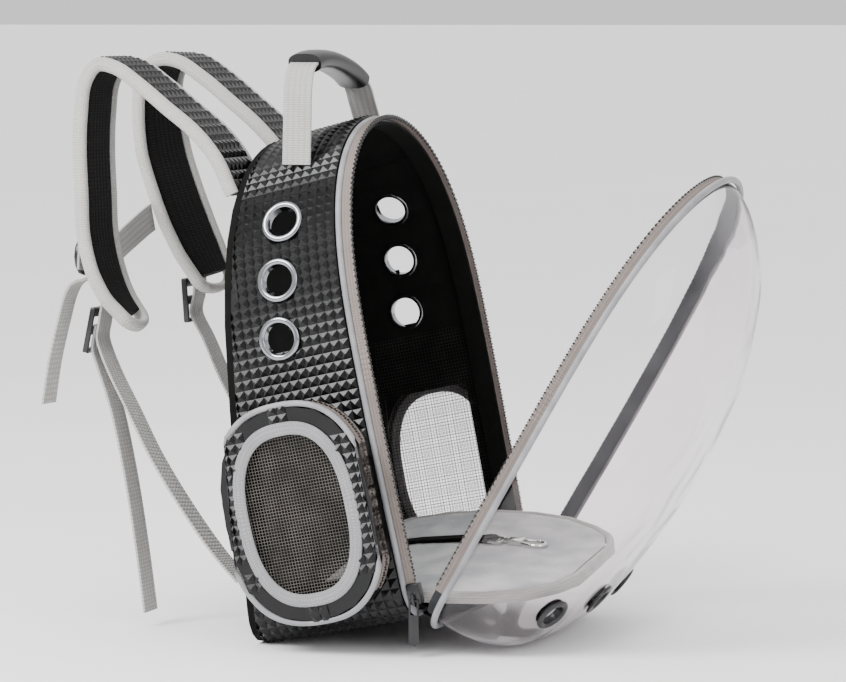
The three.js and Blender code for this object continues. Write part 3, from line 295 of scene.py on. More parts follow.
@dataclass(frozen=True)
class Finish:
    """A material that starts from a base colour, a roughness and one relief pattern."""

    name: str
    colour: str
    shade: str
    roughness: float
    patch_mm: float = 20.0
    grain_mm: float = 0.6
    relief: float = 0.2
    sheen: float = 0.0
    metallic: float = 0.0
    specular: float = 0.5

    def start(self) -> tuple[bpy.types.Material, bpy.types.NodeTree, bpy.types.Node]:
        """A node material with its shader's own values set."""
        material = bpy.data.materials.new(self.name)
        material.use_nodes = True
        tree = material.node_tree
        shader = next(n for n in tree.nodes if n.type == "BSDF_PRINCIPLED")
        values = {"Roughness": self.roughness, "Metallic": self.metallic, "Sheen Weight": self.sheen,
                  "Specular IOR Level": self.specular}
        for socket, value in values.items():
            shader.inputs[socket].default_value = value
        material.diffuse_color = linear(self.colour)
        return material, tree, shader

    def mottle(self, tree: bpy.types.NodeTree, shader: bpy.types.Node, where: bpy.types.NodeSocket) -> None:
        """Soft patches between the two colours, on the object's own coordinates."""
        cloud = noise(tree, where, self.patch_mm, 4.0)
        ramp = colour_ramp(tree, cloud, MOTTLE, (linear(self.shade), linear(self.colour)))
        tree.links.new(ramp, shader.inputs["Base Color"])

    def raised(self, tree: bpy.types.NodeTree, shader: bpy.types.Node, height: bpy.types.NodeSocket) -> None:
        """Relief from a height pattern, as deep as a part of the grain."""
        bump = add_node(tree, "ShaderNodeBump", {"Height": height}, Strength=self.relief,
                        Distance=self.grain_mm * MM)
        tree.links.new(bump.outputs["Normal"], shader.inputs["Normal"])

    def build(self) -> bpy.types.Material:
        """Fine irregular grain, as on moulded plastic, felt and coated cloth."""
        material, tree, shader = self.start()
        where = add_node(tree, "ShaderNodeTexCoord").outputs["Object"]
        self.mottle(tree, shader, where)
        self.raised(tree, shader, noise(tree, where, self.grain_mm, 3.0))
        return material


@dataclass(frozen=True)
class Weave(Finish):
    """Woven or knitted cloth, its threads crossing on the piece's own UV map, which is in metres, with painted shade
    in the grooves between them.
    """

    warp_mm: float = 1.6
    weft_mm: float = 1.2
    # The colour of the painted shade in the grooves, and how far the deepest grooves go towards it
    groove: str = "#000000"
    depth: float = 0.25

    def build(self) -> bpy.types.Material:
        """Ribs across the length and finer threads along it, with painted shade darkening the grooves."""
        material, tree, shader = self.start()
        coords = add_node(tree, "ShaderNodeTexCoord")
        threads = []
        for axis, pitch in (("X", self.warp_mm), ("Y", self.weft_mm)):
            wave = add_node(tree, "ShaderNodeTexWave", {"Vector": coords.outputs["UV"]}, wave_type="BANDS",
                            bands_direction=axis, Scale=WAVE_PERIOD / (pitch * MM), Distortion=0.4, Detail=1.0)
            wave.inputs["Detail Scale"].default_value = 3.0
            threads.append(wave.outputs["Fac"])
        height = add_node(tree, "ShaderNodeMath", {0: threads[0], 1: threads[1]}, operation="MULTIPLY")
        cloud = noise(tree, coords.outputs["Object"], self.patch_mm, 4.0)
        body = mixed_colour(tree, cloud, linear(self.shade), linear(self.colour))
        # Painted shade: the lower the threads lie, the more the colour is mixed towards the groove colour
        dark = add_node(tree, "ShaderNodeMapRange", {"Value": height.outputs[0]}, clamp=True)
        dark.inputs["From Max"].default_value = 0.5
        dark.inputs["To Min"].default_value = self.depth
        dark.inputs["To Max"].default_value = 0.0
        shaded_grooves = mixed_colour(tree, dark.outputs[0], linear(self.colour), linear(self.groove), body)
        tree.links.new(shaded_grooves, shader.inputs["Base Color"])
        self.raised(tree, shader, height.outputs[0])
        return material


@dataclass(frozen=True)
class ClearPlastic(Finish):
    """Clear moulded plastic, very faintly tinted, whose wall bends little light."""

    def build(self) -> bpy.types.Material:
        """Smooth transmission with a faint unevenness that softens the reflections."""
        material, tree, shader = self.start()
        shader.inputs["Transmission Weight"].default_value = 1.0
        shader.inputs["IOR"].default_value = 1.3
        shader.inputs["Base Color"].default_value = linear(self.colour)
        where = add_node(tree, "ShaderNodeTexCoord").outputs["Object"]
        self.raised(tree, shader, noise(tree, where, self.grain_mm, 1.0))
        return material


@dataclass(frozen=True)
class Metal(Finish):
    """Plated metal with fine rub marks."""

    def build(self) -> bpy.types.Material:
        """Bright plating whose roughness wanders a little."""
        material, tree, shader = self.start()
        shader.inputs["Base Color"].default_value = linear(self.colour)
        where = add_node(tree, "ShaderNodeTexCoord").outputs["Object"]
        rub = noise(tree, where, self.grain_mm, 5.0)
        span = add_node(tree, "ShaderNodeMapRange", {"Value": rub})
        span.inputs["To Min"].default_value = self.roughness * 0.7
        span.inputs["To Max"].default_value = self.roughness * 1.5
        tree.links.new(span.outputs[0], shader.inputs["Roughness"])
        return material


# Embossed polyurethane leather: jet black and glossy, so each stud shows one bright face
LEATHERETTE = Finish("embossed_leatherette", "#0d0d0e", "#070708", 0.2, grain_mm=0.35, relief=0.08,
                     specular=0.28)
# The same sheet seen from its plain places, such as the pocket sides
SMOOTH_SKIN = Finish("smooth_leatherette", "#0e0e0f", "#09090a", 0.3, grain_mm=0.5, relief=0.15, specular=0.3)
# Polyester lining, plain woven and dull
LINING = Finish("black_lining", "#0c0c0b", "#070706", 0.9, grain_mm=0.8, relief=0.25, specular=0.15)
# Knitted spacer mesh on the inner faces of the straps: dull with small holes, shown as painted shade that goes nearly
# to black in the grooves
SPACER = Weave("spacer_mesh", "#171616", "#0c0c0c", 0.85, grain_mm=1.0, relief=0.8, specular=0.2, warp_mm=2.4,
               weft_mm=2.4, depth=0.7)
# Coated polyester net thread
NET = Finish("net_thread", "#7c7772", "#5f5b57", 0.6, grain_mm=0.3, relief=0.1, specular=0.25)
# The lining net is darker than the window's
NET_DARK = Finish("lining_thread", "#2c2a29", "#1d1c1b", 0.7, grain_mm=0.3, relief=0.1, specular=0.2)
# Polypropylene webbing: light grey, ribbed across, with a slight sheen and painted shade in the grooves between the
# ribs
WEBBING = Weave("grey_webbing", "#bdbbb9", "#a9a7a5", 0.7, grain_mm=0.8, relief=0.7, sheen=0.15,
                warp_mm=2.0, weft_mm=5.0, groove="#6d6b69", depth=0.45)
# Knitted binding tape on the straps and the mat: lighter and softer than the webbing, with painted shade in its
# grooves
TAPE_EDGE = Weave("knitted_binding", "#c9c7c4", "#b5b3b0", 0.85, grain_mm=0.8, relief=0.8, sheen=0.2,
                  warp_mm=1.8, weft_mm=1.8, groove="#7c7a78", depth=0.4)
# Corded piping in grey coated cloth
PIPING = Finish("grey_piping", "#8f8f92", "#7b7b7e", 0.5, grain_mm=0.7, relief=0.3, sheen=0.1)
# Woven polyester zip tape, grey going to brown, with painted shade in its grooves
ZIP_TAPE = Weave("zip_tape", "#8d827c", "#756b66", 0.75, grain_mm=0.5, relief=0.5, warp_mm=1.2, weft_mm=1.6,
                 groove="#4c4541", depth=0.5)
# Moulded acetal zip teeth and their black coil
TEETH = Finish("zip_teeth", "#1c1b1b", "#121212", 0.35, grain_mm=0.5, relief=0.05)
# Grey felted tape round the pocket windows, with painted shade in its grooves
WINDOW_TAPE = Weave("window_tape", "#a3a3a5", "#87878a", 0.9, grain_mm=0.9, relief=0.7, sheen=0.25,
                    warp_mm=1.9, weft_mm=1.9, groove="#5f5f62", depth=0.45)
# Charcoal velour band inside the door
VELOUR = Finish("charcoal_velour", "#3a3b3f", "#26272a", 0.95, grain_mm=0.8, relief=0.6, sheen=0.15,
                specular=0.15)
# Clear polycarbonate
CLEAR = ClearPlastic("clear_polycarbonate", "#fdf8fa", "#ffffff", 0.02, grain_mm=60, relief=0.02)
# Zinc alloy with nickel plating
NICKEL = Metal("nickel_plate", "#d4d2ce", "#ffffff", 0.16, grain_mm=2.0, metallic=1.0)
# Steel eyelets with a dark bright plating
EYELET_STEEL = Metal("eyelet_chrome", "#8f9094", "#ffffff", 0.14, grain_mm=3.0, metallic=1.0)
# Moulded acetal, black, smooth from the mould
ACETAL = Finish("black_acetal", "#17171a", "#101012", 0.28, grain_mm=0.8, relief=0.05)
# Short coral fleece, pale grey with blue-grey shadows where the pile lies over
FLEECE = Finish("mottled_fleece", "#c9cac8", "#9b9ea3", 0.95, patch_mm=34, grain_mm=1.4, relief=0.9, sheen=0.4)
# Painted board of a photographer's table
BACKDROP = Finish("pale_backdrop", "#ffffff", "#fdfdfd", 0.6, patch_mm=500, grain_mm=5, relief=0.0,
                  specular=0.1)


class Wardrobe:
    """The finishes as materials, each made once."""

    def __init__(self) -> None:
        """Starts empty."""
        self.made: dict[str, bpy.types.Material] = {}

    def __call__(self, finish: Finish) -> bpy.types.Material:
        """The material of a finish."""
        if finish.name not in self.made:
            self.made[finish.name] = finish.build()
        return self.made[finish.name]

    def dress(self, piece: bpy.types.Object, finish: Finish) -> bpy.types.Object:
        """Gives a piece one finish all over."""
        piece.data.materials.clear()
        piece.data.materials.append(self(finish))
        return piece


WARDROBE = Wardrobe()


# ---------------------------------------------------------------------------
# Ways of making meshes
# ---------------------------------------------------------------------------


@dataclass(frozen=True)
class Frame:
    """A point of a path with two directions across it."""

    at: Vector
    u: Vector
    w: Vector

    def out(self, a: float, b: float) -> Vector:
        """A point off the path, in the same units as the path."""
        return self.at + self.u * a + self.w * b


def deselect() -> None:
    """Leaves object mode with nothing selected."""
    if bpy.context.object and bpy.context.object.mode != "OBJECT":
        bpy.ops.object.mode_set(mode="OBJECT")
    bpy.ops.object.select_all(action="DESELECT")


def pick(piece: bpy.types.Object) -> None:
    """Makes a piece the active one and the only one selected."""
    deselect()
    bpy.context.view_layer.objects.active = piece
    piece.select_set(True)


def merged(threshold: float) -> list[Step]:
    """Edit steps that select everything and merge points that fall together.

    Args:
        threshold: How near, in metres.

    Returns:
        The steps, in order.
    """
    return [lambda: bpy.ops.mesh.select_all(action="SELECT"),
            lambda: bpy.ops.mesh.remove_doubles(threshold=threshold)]


def edit(piece: bpy.types.Object, *steps: Step) -> None:
    """Runs edit mode operators on a piece with what is selected in it.

    Args:
        piece: The piece to edit.
        steps: Calls to make in edit mode, in order.
    """
    pick(piece)
    bpy.ops.object.mode_set(mode="EDIT")
    for step in steps:
        step()
    bpy.ops.object.mode_set(mode="OBJECT")
    piece.select_set(False)


def select_faces(piece: bpy.types.Object, wanted: Callable[[Vector], bool]) -> None:
    """Selects the faces whose middle passes a test, and nothing else."""
    mesh = piece.data
    for vertex in mesh.vertices:
        vertex.select = False
    for line in mesh.edges:
        line.select = False
    for face in mesh.polygons:
        face.select = wanted(face.center)


def apply(piece: bpy.types.Object, kind: str, **settings) -> None:
    """Adds a modifier to a piece and applies it."""
    pick(piece)
    modifier = piece.modifiers.new(kind.title(), kind)
    for key, value in settings.items():
        setattr(modifier, key, value)
    bpy.ops.object.modifier_apply(modifier=modifier.name)
    piece.select_set(False)


def smooth(piece: bpy.types.Object, angle: float = 40.0) -> bpy.types.Object:
    """Shades a piece smooth up to an angle in degrees."""
    pick(piece)
    bpy.ops.object.shade_smooth_by_angle(angle=math.radians(angle))
    piece.select_set(False)
    return piece


def laid_grid(name: str, columns: int, rows: int, place: Place,
              cloth: tuple[float, float] = (1, 1)) -> bpy.types.Object:
    """A grid primitive laid on a surface.

    Args:
        name: The piece's name.
        columns: Faces along the first share.
        rows: Faces along the second share.
        place: Where a pair of shares from 0 to 1 lies, in millimetres in the object's frame.
        cloth: Length and width of the laid sheet in millimetres, for its UV map in metres.

    Returns:
        The new piece.
    """
    deselect()
    bpy.ops.mesh.primitive_grid_add(x_subdivisions=columns, y_subdivisions=rows, size=2, calc_uvs=True)
    piece = bpy.context.object
    piece.name = name
    mesh = piece.data
    flat = np.empty(len(mesh.vertices) * 3)
    mesh.vertices.foreach_get("co", flat)
    shares = (flat.reshape(-1, 3)[:, :2] + 1) / 2
    placed = np.array([place(float(a), float(b)) for a, b in shares]) * MM
    mesh.vertices.foreach_set("co", placed.ravel())
    uv = np.empty(len(mesh.loops) * 2)
    mesh.uv_layers[0].data.foreach_get("uv", uv)
    mesh.uv_layers[0].data.foreach_set("uv", (uv.reshape(-1, 2) * np.array(cloth) * MM).ravel())
    mesh.update()
    piece.select_set(False)
    return piece


def flip(piece: bpy.types.Object) -> None:
    """Turns all faces over."""
    edit(piece, lambda: bpy.ops.mesh.select_all(action="SELECT"), lambda: bpy.ops.mesh.flip_normals())


def turn_out(piece: bpy.types.Object, away: Vector) -> None:
    """Makes the faces of an open sheet look along a direction, on the whole."""
    if sum(face.normal.dot(away) * face.area for face in piece.data.polygons) < 0:
        flip(piece)


def weld(piece: bpy.types.Object, ends: bool = False) -> None:
    """Merges points that fall together, closes open ends if asked, and turns faces outwards."""
    calls = merged(2e-6)
    if ends:
        calls.append(lambda: bpy.ops.mesh.fill_holes(sides=0))
    calls.append(lambda: bpy.ops.mesh.normals_make_consistent(inside=False))
    edit(piece, *calls)


def section_at(section: Points, share: float) -> tuple[float, float]:
    """The point of a closed section at a share of its corners."""
    place = share * len(section)
    k = int(place) % len(section)
    (a, b), (c, d) = section[k], section[(k + 1) % len(section)]
    part = place - int(place)
    return a + (c - a) * part, b + (d - b) * part


def swept(name: str, frames: Sequence[Frame], section: Points, finish: Finish, hoop: bool = False,
          scale: Optional[Sequence[float]] = None) -> bpy.types.Object:
    """A section carried along frames.

    Args:
        name: The piece's name.
        frames: The path, in millimetres.
        section: Corners across the path, in millimetres.
        finish: The finish it gets.
        hoop: Joins the last frame to the first.
        scale: A width factor for each frame.

    Returns:
        The closed piece.
    """
    path = [*frames, frames[0]] if hoop else list(frames)
    sizes = list(scale or [1.0] * len(frames))
    sizes = [*sizes, sizes[0]] if hoop else sizes
    last = len(path) - 1
    length = sum((path[k + 1].at - path[k].at).length for k in range(last))
    around = sum(math.dist(section[k], section[(k + 1) % len(section)]) for k in range(len(section)))

    def place(along: float, across: float) -> Vector:
        k = min(last, round(along * last))
        a, b = section_at(section, round(across * len(section)) / len(section) % 1.0)
        return path[k].out(a * sizes[k], b)

    piece = laid_grid(name, last, len(section), place, (length, around))
    weld(piece, ends=not hoop)
    return smooth(WARDROBE.dress(piece, finish), 50)


def rod(across: float, sides: int = 12) -> Points:
    """A round section."""
    turns = [2 * math.pi * k / sides for k in range(sides)]
    return [(across / 2 * math.cos(t), across / 2 * math.sin(t)) for t in turns]


def soft_bar(wide: float, thick: float, power: float = 4.0, corners: int = 20) -> Points:
    """A flat section with rounded corners."""
    points = []
    for k in range(corners):
        turn = 2 * math.pi * k / corners
        c, s = math.cos(turn), math.sin(turn)
        points.append((math.copysign(abs(c) ** (2 / power), c) * wide / 2,
                       math.copysign(abs(s) ** (2 / power), s) * thick / 2))
    return points


def tape_bar(wide: float, thick: float, across: int = 6) -> Points:
    """A flat section with several points on each wide side, so that ribs can follow it."""
    top = [(wide * (k / across - 0.5), thick / 2) for k in range(across + 1)]
    return [*top, *[(a, -b) for a, b in reversed(top)]]


def spline(points: Sequence[Vector], count: int) -> list[Vector]:
    """A smooth curve through points, by equal shares of their number.

    Args:
        points: Where the curve passes.
        count: How many pieces it is cut into.

    Returns:
        One more point than pieces.
    """
    last = len(points) - 1
    curve = []
    for step in range(count + 1):
        place = step / count * last
        k = min(int(place), last - 1)
        part = place - k
        p1, p2 = points[k], points[k + 1]
        p0 = points[k - 1] if k else p1 * 2 - p2
        p3 = points[k + 2] if k + 2 <= last else p2 * 2 - p1
        d0, d1, d2 = ((b - a).length ** 0.5 or 1.0 for a, b in ((p0, p1), (p1, p2), (p2, p3)))
        t1 = ((p1 - p0) / d0 - (p2 - p0) / (d0 + d1) + (p2 - p1) / d1) * d1
        t2 = ((p2 - p1) / d1 - (p3 - p1) / (d1 + d2) + (p3 - p2) / d2) * d1
        c2 = (p2 - p1) * 3 - t1 * 2 - t2
        c3 = (p1 - p2) * 2 + t1 + t2
        curve.append(p1 + t1 * part + c2 * part**2 + c3 * part**3)
    return curve


def path_frames(points: Sequence[Vector], across: Vector) -> list[Frame]:
    """Frames along a line of points whose first direction keeps near a given one."""
    frames = []
    for k, at in enumerate(points):
        along = (points[min(k + 1, len(points) - 1)] - points[max(k - 1, 0)]).normalized()
        u = (across - along * across.dot(along)).normalized()
        frames.append(Frame(at, u, along.cross(u)))
    return frames


def bevelled_copy(node: str, name: str, finish: Finish, width: float, segments: int = 2) -> bpy.types.Object:
    """A CAD node's shape with its edges rounded, standing for that node.

    Args:
        node: The CAD node.
        name: The new piece's name.
        finish: The finish it gets.
        width: The rounding in millimetres.
        segments: Faces across a rounded edge.

    Returns:
        The new piece, not yet riding on anything.
    """
    deselect()
    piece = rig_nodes()[node].copy()
    piece.data = piece.data.copy()
    piece.parent = None
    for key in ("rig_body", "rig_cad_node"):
        if key in piece:
            del piece[key]
    piece.name = name
    bpy.context.scene.collection.objects.link(piece)
    edit(piece, *merged(1e-6), lambda: bpy.ops.mesh.dissolve_limited(angle_limit=math.radians(1)))
    apply(piece, "BEVEL", width=width * MM, segments=segments, limit_method="ANGLE",
          angle_limit=math.radians(35))
    return smooth(WARDROBE.dress(piece, finish), 45)


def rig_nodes() -> dict[str, bpy.types.Object]:
    """The CAD nodes by name."""
    return CAD["nodes"]


CAD: dict = {}


def keep(piece: bpy.types.Object, slot: str, *nodes: str, body: str = BODY) -> bpy.types.Object:
    """Puts a piece on a body, names its material slot and hides the nodes it stands for."""
    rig.ride(piece, body)
    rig.slot(piece, slot)
    if nodes:
        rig.replaces(piece, *nodes)
    LOG.info("made %s with %d faces", piece.name, len(piece.data.polygons))
    return piece


# ---------------------------------------------------------------------------
# Shell
# ---------------------------------------------------------------------------


@dataclass
class Stand:
    """How the shell stands: leaning back, with its foot a little behind the middle."""

    lean: float = 11.75
    foot: float = 34.7
    shift: float = 0.0

    def place(self, at: Vector) -> Vector:
        """A point of the shell's own frame in the object's frame."""
        turned = Matrix.Rotation(-math.radians(self.lean), 3, "X") @ at
        return turned + Vector((0, self.foot + self.shift, 0))

    def place_frames(self, frames: Sequence[Frame]) -> list[Frame]:
        """Frames of the shell's own frame in the object's frame."""
        turn = Matrix.Rotation(-math.radians(self.lean), 3, "X")
        return [Frame(self.place(f.at), turn @ f.u, turn @ f.w) for f in frames]


@dataclass
class Rim:
    """The outline of the shell's front, flat at the bottom and arched at the top."""

    height: float = 420.0
    half_base: float = 144.0
    half_waist: float = 150.0
    waist_up: float = 199.0
    corner_out: float = 26.0
    corner_up: float = 30.0
    arch_side: float = 1.96
    arch_top: float = 3.05
    seam: float = math.radians(50)
    depth: float = 149.0
    taper: float = math.radians(7.5)
    wall: float = 3.0
    back_thick: float = 6.0
    piping: float = 5.6

    @property
    def flat(self) -> float:
        """Half the width of the straight bottom."""
        return self.half_base - self.corner_out

    @property
    def panel_front(self) -> float:
        """Where the side panels end, behind the piping."""
        return self.depth - self.piping - GAP

    def half_width(self, up: float) -> float:
        """Half the width at a height."""
        if up < self.corner_up:
            drop = 1 - up / self.corner_up
            return self.half_base - self.corner_out * (1 - math.sqrt(max(0, 1 - drop**2)))
        if up < self.waist_up:
            share = (up - self.corner_up) / (self.waist_up - self.corner_up)
            return self.half_base + (self.half_waist - self.half_base) * math.sin(math.pi / 2 * share)
        rise = ((up - self.waist_up) / (self.height - self.waist_up)) ** (self.arch_top / 2)
        return self.half_waist * math.cos(math.asin(min(1, rise))) ** (2 / self.arch_side)

    def arch(self, angle: float) -> tuple[float, float]:
        """A point of the arch at an angle from the waist to the crown."""
        return (self.half_waist * max(0.0, math.cos(angle)) ** (2 / self.arch_side),
                self.waist_up + (self.height - self.waist_up) * math.sin(angle) ** (2 / self.arch_top))

    def side_run(self, fine: int = 10) -> list[tuple[float, float]]:
        """The right side from the end of the flat bottom to the seam."""
        corner = [math.pi / 2 * k / fine for k in range(fine + 1)]
        points = [(self.flat + self.corner_out * math.sin(a), self.corner_up * (1 - math.cos(a)))
                  for a in corner]
        for k in range(1, 2 * fine + 1):
            up = self.corner_up + (self.waist_up - self.corner_up) * k / (2 * fine)
            points.append((self.half_width(up), up))
        points += [self.arch(self.seam * k / (2 * fine)) for k in range(1, 2 * fine + 1)]
        return points

    def top_run(self, fine: int = 20) -> list[tuple[float, float]]:
        """The right side from the seam to the crown."""
        return [self.arch(self.seam + (math.pi / 2 - self.seam) * k / fine) for k in range(fine + 1)]

    def zip_run(self) -> list[tuple[float, float]]:
        """From above the right bottom corner over the crown to above the left one."""
        right = [*self.side_run()[10:], *self.top_run()[1:]]
        return [*right, *[(-x, z) for x, z in reversed(right[:-1])]]

    def loop(self) -> list[tuple[float, float]]:
        """The whole outline, closed."""
        right = [*self.side_run(), *self.top_run()[1:]]
        return [*right, *[(-x, z) for x, z in reversed(right[:-1])]]

    def outward(self, x: float, up: float) -> Vector:
        """The direction out of the outline at a height."""
        reach = 2.0
        low, high = max(up - reach, 0), min(up + reach, self.height)
        side = 1 if x >= 0 else -1
        return Vector((side * (high - low), 0, self.half_width(low) - self.half_width(high))).normalized()

    def frames(self, points: Points, inset: float, y: float, closed: bool) -> list[Frame]:
        """Frames along a run of the outline: u points out of it, w along +Y."""
        last = len(points) - 1
        found = []
        for k, (x, z) in enumerate(points):
            before = points[(k - 1) % len(points)] if closed or k else points[k]
            after = points[(k + 1) % len(points)] if closed or k < last else points[k]
            u = Vector((after[1] - before[1], 0, before[0] - after[0])).normalized()
            found.append(Frame(Vector((x, y, z)) - u * inset, u, Vector((0, 1, 0))))
        return found

    def on_back(self, at: Vector) -> Vector:
        """Where a point of the outline lies on the tapered back plane."""
        return Matrix.Rotation(self.taper, 3, "X") @ Vector((at.x, -self.back_thick - GAP, at.z))

    def skin_at(self, at: Vector, out: Vector, forward: float, inwards: float) -> Vector:
        """A point of the wall at a place of the outline, at a distance from the back plane's foot."""
        flat = at - out * inwards
        back = self.on_back(flat)
        front = Vector((flat.x, -self.panel_front, flat.z))
        span = self.panel_front + back.y
        return back.lerp(front, max(0.0, min(1.0, (forward + back.y) / span)))

    def skin(self, side: Side, forward: float, up: float, inwards: float) -> Vector:
        """A point of a side wall, by its height."""
        x = side.value * self.half_width(up)
        return self.skin_at(Vector((x, 0, up)), self.outward(x, up), forward, inwards)


def lengths(points: Sequence[Vector]) -> list[float]:
    """The length walked at each point of a line, from 0."""
    walked = [0.0]
    for a, b in zip(points, points[1:]):
        walked.append(walked[-1] + (b - a).length)
    return walked


def stretch(walked: Sequence[float], goal: float) -> tuple[int, float]:
    """The stretch of a line on which a length lies, and the share of that stretch."""
    k = min(int(np.searchsorted(walked, goal, side="right")) - 1, len(walked) - 2)
    return k, (goal - walked[k]) / max(1e-9, walked[k + 1] - walked[k])


def resampled(points: Points, pitch: float) -> tuple[list[Vector], list[Vector], float]:
    """Equal steps along a line in the XZ plane, with the direction out of it.

    Args:
        points: The line's corners.
        pitch: The wanted step.

    Returns:
        The points, the outward directions and the line's length.
    """
    line = [Vector((x, 0, z)) for x, z in points]
    walked = lengths(line)
    count = max(1, round(walked[-1] / pitch))
    at, out = [], []
    for step in range(count + 1):
        k, part = stretch(walked, walked[-1] * step / count)
        a, b = line[k], line[k + 1]
        at.append(a.lerp(b, part))
        along = (b - a).normalized()
        out.append(Vector((along.z, 0, -along.x)))
    return at, out, walked[-1]


@dataclass
class Studs:
    """Square pyramids pressed into the leatherette."""

    pitch: float = 8.4
    high: float = 2.2
    stand: float = 0.35

    def press(self, piece: bpy.types.Object) -> None:
        """Raises every face of a laid sheet to a point and shades it flat."""
        edit(piece, *merged(WELD),
             lambda: bpy.ops.mesh.dissolve_degenerate(threshold=WELD),
             lambda: bpy.ops.mesh.select_all(action="SELECT"),
             lambda: bpy.ops.mesh.poke(offset=self.high * MM, use_relative_offset=False, center_mode="MEDIAN"))
        pick(piece)
        bpy.ops.object.shade_flat()
        piece.select_set(False)


@dataclass
class Pocket:
    """An oval side pocket with a net window."""

    rim: Rim
    stand: Stand
    side: Side
    studs: Studs
    long: float = 135.5
    tall: float = 182.0
    mid: float = 80.75
    up: float = 105.0
    out: float = 30.0
    cloth: float = 2.0
    shape: float = 2.5
    draft: float = 2.0
    rim_wide: float = 14.5
    binding: float = 11.0
    cord: float = 5.0
    net_pitch: float = 2.6

    @property
    def window_at(self) -> float:
        """How far inside the outline the window's edge lies."""
        return self.draft + self.rim_wide

    def spot(self, at: Vector) -> tuple[float, float]:
        """How far forward and up a point in metres lies on the wall."""
        away = at - self.on_wall(self.mid, self.up, 0) * MM
        flat = Matrix.Rotation(math.radians(self.stand.lean), 3, "X") @ away
        return self.mid - flat.y / MM, self.up + flat.z / MM

    def inside(self, spot: tuple[float, float], drawn: float) -> bool:
        """Whether a place lies inside the outline drawn in by a length."""
        a = abs(spot[0] - self.mid) / (self.long / 2 - drawn)
        b = abs(spot[1] - self.up) / (self.tall / 2 - drawn)
        return a**self.shape + b**self.shape < 1

    def point(self, turn: float, drawn: float, out: float) -> Vector:
        """A point of the pocket at an angle round its middle."""
        def bend(value: float) -> float:
            return math.copysign(abs(value) ** (2 / self.shape), value)
        forward = self.mid + (self.long / 2 - drawn) * bend(math.cos(turn))
        up = self.up + (self.tall / 2 - drawn) * bend(math.sin(turn))
        return self.on_wall(forward, up, out)

    def on_wall(self, forward: float, up: float, out: float) -> Vector:
        """A point that stands straight out from the side wall."""
        foot = self.rim.skin(self.side, forward, up, -GAP)
        return self.stand.place(foot + Vector((self.side.value * out, 0, 0)))

    def frames(self, drawn: float, out: float, low: float = 0.0, high: float = 360.0,
               count: int = 96) -> list[Frame]:
        """Frames round the pocket: u points away from its middle, w sideways."""
        found = []
        for k in range(count if high - low == 360 else count + 1):
            turn = math.radians(low + (high - low) * k / count)
            at = self.point(turn, drawn, out)
            away = (self.point(turn, drawn - 1, out) - at).normalized()
            found.append(Frame(at, away, Vector((1, 0, 0))))
        return found

    def build(self) -> None:
        """Makes the pocket's visible pieces over its solids."""
        hand = self.side.hand
        self.face(hand)
        self.gusset(hand)
        self.window(hand)
        line = self.frames(self.draft - self.cord / 2 - GAP, self.out - 1)
        piping = swept(f"pocket_cord_{hand}", line, rod(self.cord), PIPING, hoop=True)
        keep(piping, "piping", f"pocket_piping_{hand}")
        tape = swept(f"pocket_window_tape_{hand}",
                     self.frames(self.window_at - 3 + self.binding / 2, self.out + GAP + 0.75),
                     soft_bar(self.binding, 2.4, 3.0), WINDOW_TAPE, hoop=True)
        keep(tape, "window_binding", f"pocket_binding_{hand}")
        self.zip(hand)
        pull = bevelled_copy(f"pocket_pull_{hand}", f"pocket_zip_pull_{hand}", ACETAL, 1.0)
        keep(pull, "black_plastic", f"pocket_pull_{hand}")

    def face(self, hand: str) -> None:
        """The studded ring between the piping and the window."""
        pitch = self.studs.pitch
        columns, rows = round(self.long / pitch), round(self.tall / pitch)

        def place(a: float, b: float) -> Vector:
            return self.on_wall(self.mid + (a - 0.5) * columns * pitch, self.up + (b - 0.5) * rows * pitch,
                                self.out + self.studs.stand)

        piece = laid_grid(f"pocket_studs_{hand}", columns, rows, place, (self.long, self.tall))
        def dropped(centre: Vector) -> bool:
            spot = self.spot(centre)
            return self.inside(spot, self.window_at - 0.5) or not self.inside(spot, self.draft + 1)
        select_faces(piece, dropped)
        edit(piece, lambda: bpy.ops.mesh.delete(type="FACE"))
        turn_out(piece, Vector((self.side.value, 0, 0)))
        self.studs.press(piece)
        keep(WARDROBE.dress(piece, LEATHERETTE), "leatherette")
        WARDROBE.dress(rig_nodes()[f"pocket_face_{hand}"], SMOOTH_SKIN)

    def gusset(self, hand: str) -> None:
        """The pocket's depth, smooth and a little crowned."""
        top = self.out - self.cloth - 2 * GAP
        count = 96

        def place(a: float, b: float) -> Vector:
            turn = 2 * math.pi * a
            ring = b if b <= 0.5 else 1 - b
            share = min(1.0, ring * 2)
            inside = self.cloth if b > 0.5 else 0.0
            crown = 1.2 * math.sin(math.pi * share)
            return self.point(turn, self.draft * share + inside - crown, top * share)

        piece = laid_grid(f"pocket_side_{hand}", count, 16, place, (self.long * 3, self.out * 2))
        weld(piece)
        smooth(WARDROBE.dress(piece, SMOOTH_SKIN), 60)
        keep(piece, "leatherette", f"pocket_gusset_{hand}")

    def window(self, hand: str) -> None:
        """A real net across the window, every thread a thin bar."""
        reach_long = self.long / 2 - self.window_at + 3
        reach_tall = self.tall / 2 - self.window_at + 3
        columns, rows = round(2 * reach_long / self.net_pitch), round(2 * reach_tall / self.net_pitch)
        out = self.out - self.cloth - 2 * GAP - 0.5

        def place(a: float, b: float) -> Vector:
            x, z = 2 * a - 1, 2 * b - 1
            reach = max(1.0, (abs(x) ** self.shape + abs(z) ** self.shape) ** (1 / self.shape))
            sag = 1.5 * (1 - min(1.0, x * x)) * (1 - min(1.0, z * z))
            return self.on_wall(self.mid + x / reach * reach_long, self.up + z / reach * reach_tall, out - sag)

        piece = laid_grid(f"pocket_net_{hand}", columns, rows, place, (self.long, self.tall))
        net(piece, 0.55)
        keep(WARDROBE.dress(piece, NET), "mesh", f"pocket_window_{hand}")

